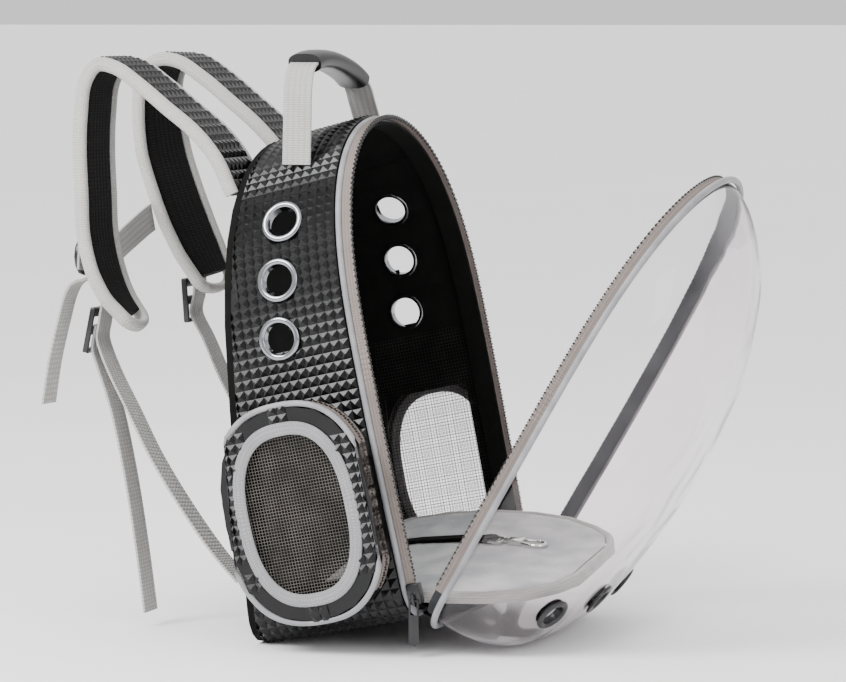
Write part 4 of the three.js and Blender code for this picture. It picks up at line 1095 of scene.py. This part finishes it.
    def zip(self, hand: str) -> None:
        """The zip round the gusset: its tape and two rows of teeth."""
        middle = self.out / 2 - 1
        line = self.frames(self.draft * 0.5 - 1.6, middle, -49, 196, 120)
        tape = swept(f"pocket_tape_{hand}", line, tape_bar(1.4, 14, 1), ZIP_TAPE)
        keep(tape, "zip_tape", f"pocket_zip_{hand}")
        raised = [Frame(f.at + f.u * 1.0, f.w, -f.u) for f in line]
        teeth = tooth_row(f"pocket_teeth_{hand}", raised, pitch=2.4, wide=4.0, high=1.4)
        keep(teeth, "zip_tape")


def net(piece: bpy.types.Object, thread: float) -> None:
    """Turns a laid sheet into threads along its edges."""
    edit(piece, *merged(WELD), lambda: bpy.ops.mesh.dissolve_degenerate(threshold=WELD))
    apply(piece, "WIREFRAME", thickness=thread * MM, use_even_offset=False, use_replace=True, offset=0.0)


def tooth_row(name: str, frames: Sequence[Frame], pitch: float, wide: float, high: float) -> bpy.types.Object:
    """A row of zip teeth along a path: u runs across the row and w down into the tape.

    Args:
        name: The piece's name.
        frames: The path in millimetres.
        pitch: From tooth to tooth.
        wide: A tooth's length across the row.
        high: How far it stands up.

    Returns:
        All teeth as one piece.
    """
    walked = lengths([frame.at for frame in frames])
    count = int(walked[-1] / pitch)
    deselect()
    bpy.ops.mesh.primitive_cube_add(size=1)
    seed = bpy.context.object
    seed.name = name
    apply(seed, "BEVEL", width=0.18, segments=1, limit_method="NONE")
    shape = np.array([v.co[:] for v in seed.data.vertices])
    faces = [list(face.vertices) for face in seed.data.polygons]
    points, polygons = [], []
    for step in range(count):
        k, part = stretch(walked, (step + 0.5) * pitch)
        at = frames[k].at.lerp(frames[k + 1].at, part)
        u = frames[k].u.lerp(frames[k + 1].u, part).normalized()
        w = frames[k].w.lerp(frames[k + 1].w, part).normalized()
        along = u.cross(w)
        shift = 0.18 * wide * (1 if step % 2 else -1)
        base = len(points)
        for x, y, z in shape:
            across = u * (x * wide * 0.8 + shift)
            points.append((at + across + along * (y * pitch * 0.62) - w * (z * high)) * MM)
        polygons += [[base + i for i in face] for face in faces]
    seed.data.clear_geometry()
    seed.data.from_pydata([tuple(p) for p in points], [], polygons)
    seed.data.update()
    weld(seed)
    return smooth(WARDROBE.dress(seed, TEETH), 30)


# Pitch, width and height of the teeth of the main zip
ZIP_TEETH = (2.6, 3.6, 1.6)


@dataclass
class Eyelet:
    """A metal or plastic ring set in a hole."""

    hole: float
    wide: float
    rim: float
    through: float
    finish: Finish

    def profile(self) -> Points:
        """Radius and height round the ring's section, softly crowned outside."""
        bore, flange = self.hole / 2, self.wide / 2
        middle, reach = (bore + flange) / 2, (flange - bore) / 2
        turns = [math.pi * k / 10 for k in range(11)]
        crown = [(middle - reach * math.cos(t), self.rim * math.sin(t) ** 0.8 + 0.1) for t in turns]
        washer = -self.through
        return [*crown, (flange, -0.1), (bore + 1.3, -0.1), (bore + 1.3, washer), (flange - 2, washer),
                (flange - 2.2, washer - 0.9), (bore + 1.5, washer - 1.6), (bore, washer - 0.8)]

    def build(self, name: str, at: Vector, out: Vector) -> bpy.types.Object:
        """The ring at a point in millimetres, facing out."""
        side = out.orthogonal().normalized()
        other = out.cross(side)
        section = self.profile()
        count = 48

        def place(a: float, b: float) -> Vector:
            turn = 2 * math.pi * a
            radius, height = section_at(section, round(b * len(section)) / len(section) % 1.0)
            return at + (side * math.cos(turn) + other * math.sin(turn)) * radius + out * height

        piece = laid_grid(name, count, len(section), place, (self.wide * 3, self.wide))
        weld(piece)
        return smooth(WARDROBE.dress(piece, self.finish), 55)


@dataclass
class Shell:
    """The carrier's body: studded skin, vents, pockets, rim and lining."""

    rim: Rim
    stand: Stand
    studs: Studs = field(default_factory=Studs)
    vents: Points = ((96, 345), (89, 298), (83, 250))
    vent_hole: float = 26.0
    vent_wide: float = 37.0
    lining_box: tuple[float, float, float, float] = (22, 138, 34, 228)

    def build(self) -> None:
        """Makes the shell's visible pieces."""
        for side in Side:
            pocket = Pocket(self.rim, self.stand, side, self.studs)
            self.side_skin(side, pocket)
            self.side_vents(side)
            self.side_net(side)
            pocket.build()
        self.top_skin()
        self.edge()
        for node in ("back_panel", "base_panel", "hinge_strip", "side_panel_left",
                     "side_panel_right", "top_panel"):
            WARDROBE.dress(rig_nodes()[node], LINING)

    def sheet(self, name: str, run: Points, sign: int) -> bpy.types.Object:
        """A studded sheet over a run of the outline, its rows counted back from the rim."""
        pitch = self.studs.pitch
        at, out, length = resampled(run, pitch)
        count = len(at) - 1
        deep = math.ceil((self.rim.panel_front - 8) / pitch)

        def place(a: float, b: float) -> Vector:
            k = round(a * count)
            where = Vector((sign * at[k].x, 0, at[k].z))
            away = Vector((sign * out[k].x, 0, out[k].z))
            forward = self.rim.panel_front - b * deep * pitch
            return self.stand.place(self.rim.skin_at(where, away, forward, -self.studs.stand))

        return laid_grid(name, count, deep, place, (length, deep * pitch))

    def side_skin(self, side: Side, pocket: Pocket) -> None:
        """The studded skin of one side, open at the vents and behind the pocket."""
        piece = self.sheet(f"studded_side_{side.hand}", self.rim.side_run(), side.value)
        vents = [self.stand.place(self.rim.skin(side, f, u, 0)) * MM for f, u in self.vents]

        def dropped(centre: Vector) -> bool:
            if min((centre - vent).length for vent in vents) < 0.42 * self.vent_wide * MM:
                return True
            return pocket.inside(pocket.spot(centre), 5)

        select_faces(piece, dropped)
        edit(piece, lambda: bpy.ops.mesh.delete(type="FACE"))
        turn_out(piece, Vector((side.value, 0, 0)))
        self.studs.press(piece)
        keep(WARDROBE.dress(piece, LEATHERETTE), "leatherette")

    def top_skin(self) -> None:
        """The studded skin of the arch between the seams."""
        right = self.rim.top_run()
        run = [*right, *[(-x, z) for x, z in reversed(right[:-1])]]
        piece = self.sheet("studded_top", run, 1)
        turn_out(piece, Vector((0, 0, 1)))
        self.studs.press(piece)
        keep(WARDROBE.dress(piece, LEATHERETTE), "leatherette")

    def side_vents(self, side: Side) -> None:
        """Three eyelets in a side wall."""
        turn = Matrix.Rotation(-math.radians(self.stand.lean), 3, "X")
        for k, (forward, up) in enumerate(self.vents):
            out = self.rim.outward(side.value * self.rim.half_width(up), up)
            at = self.stand.place(self.rim.skin(side, forward, up, -GAP - 0.5))
            ring = Eyelet(self.vent_hole, self.vent_wide, 2.6, self.rim.wall + 1.6, EYELET_STEEL)
            piece = ring.build(f"vent_ring_{side.hand}_{k + 1}", at, turn @ out)
            keep(piece, "steel", f"grommet_{side.hand}_{k + 1}")

    def side_net(self, side: Side) -> None:
        """The net lining inside a side wall."""
        back, front, low, high = self.lining_box
        pitch = 3.0

        def place(a: float, b: float) -> Vector:
            up = low + (high - low) * a
            foot = -self.rim.on_back(Vector((0, 0, up))).y
            forward = max(back + (front - back) * b, foot + back / 2)
            return self.stand.place(self.rim.skin(side, forward, up, self.rim.wall + 1.5))

        cloth = high - low, front - back
        rows, columns = (round(length / pitch) for length in cloth)
        piece = laid_grid(f"lining_net_{side.hand}", rows, columns, place, cloth)
        net(piece, 0.5)
        keep(WARDROBE.dress(piece, NET_DARK), "mesh", f"side_mesh_{side.hand}")

    def edge(self) -> None:
        """Piping, zip tape and teeth round the rim."""
        rim = self.rim
        half = rim.piping / 2
        line = self.stand.place_frames(rim.frames(rim.loop(), half, half - rim.depth, True))
        cord = swept("rim_cord", line, rod(rim.piping), PIPING, hoop=True)
        keep(cord, "piping", "rim_piping")
        line = self.stand.place_frames(rim.frames(rim.zip_run(), rim.piping / 2, -rim.depth - GAP - 4, False))
        tape = swept("rim_tape", line, tape_bar(1.6, 8, 1), ZIP_TAPE)
        keep(tape, "zip_tape", "rim_zip_tape")
        line = self.stand.place_frames(rim.frames(rim.loop(), rim.piping + 1.6, -rim.depth + 4.4, True))
        facing = swept("rim_facing", line, soft_bar(2.2, 18, 6.0), LINING, hoop=True)
        keep(facing, "lining", "rim_binding")
        front = self.stand.place_frames(rim.frames(rim.zip_run(), rim.piping / 2, -rim.depth - GAP - 8, False))
        keep(tooth_row("rim_teeth", front, *ZIP_TEETH), "zip_tape")


# ---------------------------------------------------------------------------
# Door
# ---------------------------------------------------------------------------


@dataclass
class Door:
    """The clear dome with its lip, zip, velour band and vents."""

    rim: Rim
    stand: Stand
    opening: float = math.radians(41.9)
    hinge_gap: float = 4.0
    deep: float = 105.5
    wall: float = 1.6
    full_up: float = 144.0
    box: float = 3.2
    lip: float = 8.6
    lip_inset: float = 1.9
    vent_hole: float = 19.0
    vent_wide: float = 31.0
    vents: Points = ((0.125, 121), (0.135, 90), (0.125, 59))

    def place(self, at: Vector) -> Vector:
        """A point of the door's own frame in the object's frame."""
        turned = Matrix.Rotation(self.opening, 3, "X") @ at
        return self.stand.place(turned + Vector((0, -self.rim.depth - self.hinge_gap, 0)))

    def turned(self, frames: Sequence[Frame]) -> list[Frame]:
        """Frames of the door's own frame in the object's frame."""
        turn = Matrix.Rotation(self.opening - math.radians(self.stand.lean), 3, "X")
        return [Frame(self.place(f.at), turn @ f.u, turn @ f.w) for f in frames]

    def bulge(self, up: float, depth: float) -> float:
        """How far the dome stands from the lip at a height."""
        if up < self.full_up:
            return depth * (max(0.0, up) / self.full_up) ** 0.13
        share = (up - self.full_up) / (self.rim.height - self.full_up)
        return depth * max(0.0, 1 - min(1.0, share) ** 2.83) ** 0.84

    def shell_point(self, share: float, turn: float, inside: float) -> Vector:
        """A point of the dome at a share of its height and an angle round it, in the door's frame."""
        def bend(value: float) -> float:
            return math.copysign(abs(value) ** (2 / self.box), value)
        tall = self.rim.height - 2 * (self.lip_inset / 2 + inside)
        wide = max(0.0, self.rim.half_width(share * self.rim.height) - self.lip_inset / 2 - inside)
        deep = max(0.0, self.bulge(share * self.rim.height, self.deep - self.lip) - inside)
        return Vector((wide * bend(math.cos(turn)), -self.lip - deep * bend(math.sin(turn)),
                       self.lip_inset / 2 + inside + share * tall))

    def build(self) -> None:
        """Makes the door's visible pieces."""
        self.dome()
        self.bands()
        self.rings()

    def dome(self) -> None:
        """The clear shell, smooth, with its wall."""
        columns, rows = 72, 84

        def row_share(b: float) -> float:
            return 0.5 * (1 - math.cos(math.pi * b)) if b > 0.5 else 0.5 * (2 * b) ** 2.6

        def place(a: float, b: float) -> Vector:
            share = row_share(b)
            eased = 0.5 * (1 - math.cos(math.pi * a))
            turn = math.pi * (0.55 * a + 0.45 * eased)
            return self.place(self.shell_point(share, 0.0 if share >= 1 else turn, self.wall / 2))

        piece = laid_grid("clear_dome", columns, rows, place, (self.rim.half_waist * 3, self.rim.height))
        edit(piece, *merged(2 * WELD))
        apply(piece, "SOLIDIFY", thickness=self.wall * MM, offset=0.0)
        for share, turn in self.vents:
            at, out = self.vent_frame(share, turn)
            deselect()
            bore = (self.vent_hole / 2 + 1) * MM
            bpy.ops.mesh.primitive_cylinder_add(vertices=40, radius=bore, depth=14 * MM, location=at * MM,
                                                rotation=out.to_track_quat("Z", "Y").to_euler())
            tool = bpy.context.object
            apply(piece, "BOOLEAN", object=tool, operation="DIFFERENCE", solver="EXACT")
            bpy.data.objects.remove(tool)
        smooth(WARDROBE.dress(piece, CLEAR), 60)
        keep(piece, "clear_shell", "dome")

    def vent_frame(self, share: float, turn: float) -> tuple[Vector, Vector]:
        """Where a vent sits in the object's frame, and the direction it faces."""
        at = self.shell_point(share, math.radians(turn), 0)
        upwards = self.shell_point(share + 0.02, math.radians(turn), 0) - at
        across = self.shell_point(share, math.radians(turn + 4), 0) - at
        out = across.cross(upwards).normalized()
        if out.y > 0:
            out.negate()
        spin = Matrix.Rotation(self.opening - math.radians(self.stand.lean), 3, "X")
        return self.place(at), spin @ out

    def rings(self) -> None:
        """Black rings in the dome's vents."""
        for k, (share, turn) in enumerate(self.vents):
            at, out = self.vent_frame(share, turn)
            ring = Eyelet(self.vent_hole, self.vent_wide, 2.2, self.wall + 3.2, ACETAL)
            piece = ring.build(f"dome_ring_{k + 1}", at + out * (GAP + 0.4), out)
            keep(piece, "black_plastic", f"dome_vent_{k + 1}")

    def bands(self) -> None:
        """Piping, zip tape, teeth and the velour band inside the lip."""
        rim = self.rim
        line = self.turned(rim.frames(rim.loop(), -rim.piping / 2, -self.lip - rim.piping / 2, True))
        cord = swept("door_cord", line, rod(rim.piping), PIPING, hoop=True)
        keep(cord, "piping", "dome_piping")
        tape = swept("door_tape", self.turned(rim.frames(rim.zip_run(), self.lip_inset, -GAP - 4, False)),
                     tape_bar(1.6, 8, 1), ZIP_TAPE)
        keep(tape, "zip_tape", "dome_zip_tape")
        front = self.turned(rim.frames(rim.zip_run(), self.lip_inset, -0.2, False))
        keep(tooth_row("door_teeth", [Frame(f.at, f.u, -f.w) for f in front], *ZIP_TEETH), "zip_tape")
        line = self.turned(rim.frames(rim.loop(), self.lip_inset + 2.1, -self.lip / 2 - 2.2, True))
        band = swept("door_band", line, soft_bar(2.0, 12.4, 4.0), VELOUR, hoop=True)
        keep(band, "dome_binding", "dome_binding")


# ---------------------------------------------------------------------------
# Harness, handle, mat
# ---------------------------------------------------------------------------

REACH, RISE, TWIST, WIDE = range(4)


@dataclass
class Strap:
    """A padded shoulder strap: studded outside, mesh inside, bound in light tape."""

    side: Side
    table: Sequence[tuple[float, float, float, float]]
    root: Vector
    apart: float = 72.0
    wide: float = 65.0
    thick: float = 10.0
    edge: float = 8.0
    reach: float = 142.0
    rise: float = 104.0
    steps: int = 120

    def column(self, share: float, column: int) -> float:
        """A value of the table between its rows."""
        place = share * (len(self.table) - 1)
        row = min(int(place), len(self.table) - 2)
        low, high = self.table[row][column], self.table[row + 1][column]
        return low + (high - low) * (place - row)

    def frames(self) -> tuple[list[Frame], list[float]]:
        """Frames along the strap and its width at each."""
        points = [Vector((self.side.value * self.apart, self.root.y + self.thick / 2 + row[REACH] * self.reach,
                          self.root.z + row[RISE] * self.rise)) for row in self.table]
        line = spline(points, self.steps)
        frames, widths = [], []
        for k, at in enumerate(line):
            share = k / self.steps
            along = (line[min(k + 1, self.steps)] - line[max(k - 1, 0)]).normalized()
            across = Vector((1, 0, 0)) - along * along.x
            across = Matrix.Rotation(math.radians(self.column(share, TWIST)), 3, along) @ across.normalized()
            frames.append(Frame(at, across, along.cross(across)))
            widths.append(self.wide * self.column(share, WIDE))
        return frames, widths

    def build(self, studs: Studs) -> None:
        """Makes the strap's pad, studs and binding."""
        frames, widths = self.frames()
        hand = self.side.hand
        pad_widths = [(w - 2 * self.edge) / self.wide for w in widths]
        section = soft_bar(self.wide, self.thick, 5.0, 24)
        pad = swept(f"strap_pad_{hand}", frames, section, SPACER, scale=pad_widths)
        keep(pad, "leatherette", f"strap_{hand}")
        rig.padded(pad, 0.7)
        self.outer_face(frames, widths, studs)
        keep(self.binding(frames, widths), "webbing", f"strap_binding_{hand}")

    def outer_face(self, frames: Sequence[Frame], widths: Sequence[float], studs: Studs) -> None:
        """The studded face turned away from the wearer."""
        length = sum((b.at - a.at).length for a, b in zip(frames, frames[1:]))
        count = round(length / studs.pitch)
        across = round((self.wide - 2 * self.edge) / studs.pitch)

        def place(a: float, b: float) -> Vector:
            k = min(self.steps, round(a * self.steps))
            span = widths[k] - 2 * self.edge + 2
            return frames[k].out((b - 0.5) * span, -self.thick / 2 - studs.stand)

        piece = laid_grid(f"strap_studs_{self.side.hand}", count, across, place, (length, self.wide))
        facing = frames[self.steps // 2].w
        near = min(piece.data.polygons, key=lambda f: (f.center / MM - frames[self.steps // 2].at).length)
        if near.normal.dot(facing) > 0:
            flip(piece)
        studs.press(piece)
        keep(WARDROBE.dress(piece, LEATHERETTE), "leatherette")

    def binding(self, frames: Sequence[Frame], widths: Sequence[float]) -> bpy.types.Object:
        """The tape down one edge, round the tip and up the other."""
        edge = self.edge

        def run(sign: int) -> list[Frame]:
            return [Frame(f.at + f.u * (sign * (w - edge) / 2), f.u * sign, f.w)
                    for f, w in zip(frames, widths)]

        tip, last = frames[-1], widths[-1]
        along = tip.u.cross(tip.w)
        rounded = []
        for k in range(1, 12):
            turn = math.pi * k / 12
            out = tip.u * math.cos(turn) + along * math.sin(turn)
            reach = tip.u * (math.cos(turn) * (last - edge) / 2) + along * (math.sin(turn) * 14)
            rounded.append(Frame(tip.at + reach, out.normalized(), tip.w))
        path = [*run(1), *rounded, *reversed(run(-1))]
        return swept(f"strap_tape_{self.side.hand}", path, soft_bar(edge, self.thick + 2.2, 2.6, 16), TAPE_EDGE)


STRAP_LEFT = (
    (0.0, -0.06, 0, 1), (0.1, 0.22, 0, 1), (0.24, 0.44, 0, 1), (0.42, 0.63, 0, 1), (0.6, 0.82, 0, 1),
    (0.76, 0.96, 0, 1), (0.88, 0.98, 0, 1), (0.96, 0.84, 0, 1), (0.99, 0.58, 0, 1), (1.0, 0.28, 0, 1),
    (0.99, -0.1, 0, 1), (0.98, -0.42, 0, 1), (0.93, -0.72, 0, 0.96), (0.85, -0.95, 0, 0.85),
    (0.77, -1.08, 0, 0.7))
STRAP_RIGHT = (
    (0.0, -0.06, 0, 1), (0.12, 0.24, 0, 1), (0.27, 0.46, 0, 1), (0.45, 0.66, 0, 1), (0.64, 0.86, 0, 1),
    (0.82, 1.0, 0, 1), (0.96, 0.98, 4, 1), (1.03, 0.8, 10, 1), (1.03, 0.52, 16, 1), (1.0, 0.22, 19, 1),
    (0.93, -0.08, 19, 1), (0.85, -0.36, 19, 1), (0.76, -0.62, 18, 0.96), (0.67, -0.84, 16, 0.85))


@dataclass
class Harness:
    """Straps, webbing and ladder locks behind the carrier."""

    rim: Rim
    stand: Stand
    studs: Studs
    webbing: float = 25.0
    thick: float = 2.0
    strap_thick: float = 10.0
    strap_up: float = 384.0
    # The first of a strap's frames under a sewn webbing
    sewn_from: int = 102

    def routes(self) -> dict[str, list[tuple[float, float, float]]]:
        """Where each webbing runs, as chosen points before the shift to the object's middle."""
        return {
            "webbing_left": [(-72, 198.6, 276), (-72, 201.3, 261), (-72, 203.2, 250), (-73, 199.5, 238),
                             (-77, 188, 217), (-84, 168, 187), (-94, 144, 152), (-104, 112, 112),
                             (-112, 78, 74),
                             (-117, 52, 50)],
            "webbing_right": [(72, 176, 276), (72, 178, 268), (72, 178.5, 260), (76, 168, 236), (84, 155, 200),
                              (94, 136, 160), (104, 108, 116), (112, 76, 74), (117, 52, 50)],
            "tail_left": [(-72, 204.2, 260), (-72, 206.5, 249.3), (-72, 207.6, 239), (-72.5, 203, 225),
                          (-74, 190, 190), (-75, 176, 130), (-75, 166, 70), (-75, 158, 12)],
            "tail_upper": [(-72, 210, 302.5), (-72, 216, 299.5), (-72, 223, 298), (-72, 229, 293.5),
                           (-72.5, 234, 284), (-73.5, 240, 262), (-75, 248, 228), (-76, 254, 190)],
            "sternum": [(-98, 213.2, 322), (-72, 213, 319), (-36, 214, 318), (0, 214.8, 329), (38, 212.6, 343),
                        (50, 211.6, 347)],
        }

    def line(self, route: str) -> list[Vector]:
        """A route in the object's frame."""
        return [Vector((x, y + self.stand.shift, z)) for x, y, z in self.routes()[route]]

    def build(self) -> None:
        """Makes straps and webbing."""
        root = Matrix.Rotation(self.rim.taper, 3, "X") @ Vector((0, -0.1, self.strap_up))
        root = self.stand.place(root)
        straps = {side: Strap(side, table, root) for side, table in
                  ((Side.LEFT, STRAP_LEFT), (Side.RIGHT, STRAP_RIGHT))}
        for strap in straps.values():
            strap.build(self.studs)
        left, right = straps[Side.LEFT].frames()[0], straps[Side.RIGHT].frames()[0]
        self.hang("webbing_left", "side_webbing_left", left[self.sewn_from : 112 : 4])
        self.hang("webbing_right", "side_webbing_right", right[self.sewn_from : 117 : 4])
        self.hang("tail_left", "loose_end_left", [])
        self.hang("tail_upper", "loose_end_upper", left[self.sewn_from : self.sewn_from + 1])
        self.hang("sternum", "chest_webbing", [], Vector((0, 0, 1)), "sternum_webbing")
        for side in Side:
            lock = bevelled_copy(f"ladder_lock_{side.hand}", f"strap_lock_{side.hand}", ACETAL, 1.2, 3)
            keep(lock, "black_plastic", f"ladder_lock_{side.hand}")
        keep(bevelled_copy("sternum_slider", "chest_slider", ACETAL, 1.6, 3), "black_plastic", "sternum_slider")

    def hang(self, route: str, name: str, sewn: Sequence[Frame], across: Vector = Vector((1, 0, 0)),
             node: str = "") -> None:
        """A webbing along its route, with its sewn start on a strap's outer face."""
        out = -((self.strap_thick + self.thick) / 2 + GAP)
        start = [f.at + f.w * out for f in sewn]
        line = spline([*start, *self.line(route)], 90)
        piece = swept(name, path_frames(line, across), tape_bar(self.webbing, self.thick, 10), WEBBING)
        keep(piece, "webbing", node or route)


@dataclass
class Handle:
    """The top loop of webbing with a padded grip."""

    rim: Rim
    stand: Stand
    spread: float = 95.0
    rise: float = 89.0
    forward: float = 104.0
    webbing: float = 25.0
    grip_from: float = 8 / 26
    grip_to: float = 18 / 26
    table: Points = ((-1.0, 0.02), (-0.98, 0.4), (-0.95, 0.78), (-0.88, 0.93), (-0.72, 0.99), (-0.4, 1.0),
                     (0, 0.93), (0.3, 0.83), (0.48, 0.72), (0.58, 0.58), (0.75, 0.34), (0.98, 0.02))

    def frames(self, low: float, high: float, count: int) -> list[Frame]:
        """Frames between two shares of the loop's length."""
        foot = self.stand.place(Vector((0, -self.forward, self.rim.arch(self.rim.seam)[1])))
        points = [Vector((a * self.spread, foot.y, foot.z + 2.7 + r * self.rise)) for a, r in self.table]
        dense = spline(points, 400)
        walked = lengths(dense)
        line = []
        for step in range(count + 1):
            k, part = stretch(walked, walked[-1] * (low + (high - low) * step / count))
            line.append(dense[k].lerp(dense[k + 1], part))
        return path_frames(line, Vector((0, 1, 0)))

    def build(self) -> None:
        """Makes the webbing and the grip."""
        webbing = swept("handle_tape", self.frames(0, 1, 110), tape_bar(self.webbing, 2, 10), WEBBING)
        keep(webbing, "webbing", "handle_webbing")
        frames = self.frames(self.grip_from, self.grip_to, 40)
        grip = swept("grip_pad", frames, soft_bar(30, 17, 2.6, 24), SMOOTH_SKIN)
        keep(grip, "leatherette", "handle_grip")
        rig.padded(grip, 0.8)


@dataclass
class Mat:
    """The fleece mat that lies from the cabin into the dome."""

    stand: Stand
    wide: float = 256.0
    long: float = 228.0
    back: float = 40.0
    thick: float = 9.0
    edge: float = 7.0
    table: Sequence[tuple[float, float, float, float]] = (
        (0, 45, 38, 0.9), (0.06, 46, 38, 1), (0.25, 45, 38, 1), (0.45, 40.7, 36, 1), (0.6, 34, 35, 1),
        (0.75, 26, 32, 0.97), (0.87, 19, 28, 0.86), (0.96, 15, 26, 0.66), (1, 13, 25, 0.42))

    def row(self, along: float) -> tuple[float, float, float]:
        """Lift, rise and width between the table's rows."""
        columns = list(zip(*self.table))
        return tuple(float(np.interp(along, columns[0], column)) for column in columns[1:])

    def point(self, along: float, across: float, inset: float, top: bool) -> Vector:
        """A point of the mat's face or underside."""
        lift, rise, wide = self.row(along)
        x = across * wide * (self.wide / 2 - inset)
        forward = self.back + inset + along * (self.long - 2 * inset)
        return self.stand.place(Vector((x, -forward, lift + rise * x / self.wide - (0 if top else self.thick))))

    def build(self) -> None:
        """Makes the fleece and its binding."""
        keep(self.fleece(), "fleece", "mat")
        keep(self.binding(), "webbing", "mat_binding")

    def fleece(self) -> bpy.types.Object:
        """The padded middle, its face and underside following the mat's table."""
        def place(a: float, b: float) -> Vector:
            fold = b * 2 if b <= 0.5 else 2 - b * 2
            across = 2 * fold - 1
            base = self.point(a, across, self.edge + GAP, b <= 0.5)
            return base

        piece = laid_grid("fleece_pad", 48, 96, place, (self.long, self.wide * 2))
        weld(piece, ends=True)
        smooth(WARDROBE.dress(piece, FLEECE), 70)
        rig.padded(piece, 0.4)
        return piece

    def binding(self) -> bpy.types.Object:
        """The tape round the mat's edge."""
        steps = 60
        order = [(k / steps, 1) for k in range(steps + 1)] + [(1 - k / steps, -1) for k in range(steps + 1)]
        frames = []
        for along, across in order:
            outer = self.point(along, across, 0, True)
            inner = self.point(along, across, self.edge, True)
            under = self.point(along, across, 0, False)
            middle = (outer + inner) / 2 + (under - outer) / 2
            u = (outer - inner).normalized()
            frames.append(Frame(middle, u, (outer - under).normalized()))
        return swept("mat_tape", frames, soft_bar(self.edge, self.thick + 1.5, 2.6, 14), TAPE_EDGE, hoop=True)


class Fittings:
    """Sliders, pulls, tether and snap hook."""

    def build(self) -> None:
        """Rounds the small hard pieces and dresses the tether."""
        for node, name, finish, rounding, slot, body in (
                ("main_slider", "zip_slider", ACETAL, 0.7, "black_plastic", BODY),
                ("main_pull", "zip_pull", ACETAL, 0.4, "black_plastic", "pull"),
                ("snap_hook", "hook_casting", NICKEL, 0.5, "steel", BODY),
                ("hook_gate", "hook_lever", NICKEL, 0.4, "steel", "gate")):
            keep(bevelled_copy(node, name, finish, rounding), slot, node, body=body)
        WARDROBE.dress(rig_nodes()["tether_webbing"], LINING)


# ---------------------------------------------------------------------------
# Studio
# ---------------------------------------------------------------------------


@dataclass
class Studio:
    """A pale floor, soft light and the camera of the photograph."""

    stand: Stand
    eye: tuple[float, float, float] = (-2879.87, -1143.39, 524.03)
    yaw: float = math.radians(20.5)
    pitch: float = math.radians(5.13)
    lens: float = 152.62

    def build(self) -> None:
        """Sets up floor, lights and camera."""
        self.camera()
        self.floor()
        self.lights()

    def camera(self) -> None:
        """The camera at the photograph's place."""
        data = bpy.data.cameras.new("photo_camera")
        data.sensor_width = 36
        data.lens = self.lens
        data.clip_end = 900
        camera = bpy.data.objects.new("photo_camera", data)
        bpy.context.scene.collection.objects.link(camera)
        camera.location = (Vector(self.eye) + Vector((0, self.stand.shift, 0))) * MM
        look = Vector((math.cos(self.yaw) * math.cos(self.pitch), math.sin(self.yaw) * math.cos(self.pitch),
                       -math.sin(self.pitch)))
        camera.rotation_euler = look.to_track_quat("-Z", "Y").to_euler()
        bpy.context.scene.camera = camera

    def floor(self) -> None:
        """A wide pale floor."""
        span, under = 6e5, -0.5
        floor = laid_grid("floor", 8, 8, lambda a, b: Vector(((a - 0.5) * span, (b - 0.5) * span, under)))
        WARDROBE.dress(floor, BACKDROP)
        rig.stage(floor)

    def lights(self) -> None:
        """A room that is bright overhead and dark at eye level, and one hard soft-box for the studs' glints."""
        world = bpy.data.worlds.new("white_room")
        bpy.context.scene.world = world
        world.use_nodes = True
        tree = world.node_tree
        where = add_node(tree, "ShaderNodeTexCoord").outputs["Generated"]
        height = add_node(tree, "ShaderNodeSeparateXYZ", {"Vector": where}).outputs["Z"]
        sky = colour_ramp(tree, height, (0.06, 0.75), ((0.55, 0.55, 0.56, 1), (1, 1, 1, 1)))
        back = tree.nodes["Background"]
        tree.links.new(sky, back.inputs["Color"])
        back.inputs["Strength"].default_value = 1.7
        self.lamp("stud_glints", (-1.5, 0.87, 1.8), 1.1, 75)
        self.lamp("front_fill", (-1.8, -2.4, 1.4), 1.6, 22)

    def lamp(self, name: str, at: tuple[float, float, float], size: float, power: float) -> None:
        """A square soft light that looks at the carrier."""
        data = bpy.data.lights.new(name, "AREA")
        data.size = size
        data.energy = power
        lamp = bpy.data.objects.new(name, data)
        bpy.context.scene.collection.objects.link(lamp)
        lamp.location = at
        lamp.rotation_euler = (Vector((0, 0, 0.2)) - Vector(at)).to_track_quat("-Z", "Y").to_euler()


def main() -> None:
    """Builds the sub-assemblies in order."""
    logging.basicConfig(level=logging.INFO, format="%(name)s: %(message)s")
    CAD.update(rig.load())
    before = [list(corner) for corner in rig.bounds()]
    rim, stand = Rim(), Stand()
    _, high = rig.box("back_panel")
    back_top = stand.foot + rim.height * math.sin(math.radians(stand.lean) - rim.taper)
    stand.shift = high.y / MM - back_top
    studs = Studs()
    Studio(stand).build()
    Shell(rim, stand, studs).build()
    Door(rim, stand).build()
    Harness(rim, stand, studs).build()
    Handle(rim, stand).build()
    Mat(stand).build()
    Fittings().build()
    deselect()
    sizes = {"before": before, "after": [list(corner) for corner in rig.bounds()]}
    with open("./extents.json", "w", encoding="utf-8") as out:
        json.dump(sizes, out)
    LOG.info("dressed %d nodes", len(CAD["nodes"]))


if __name__ == "__main__":
    main()
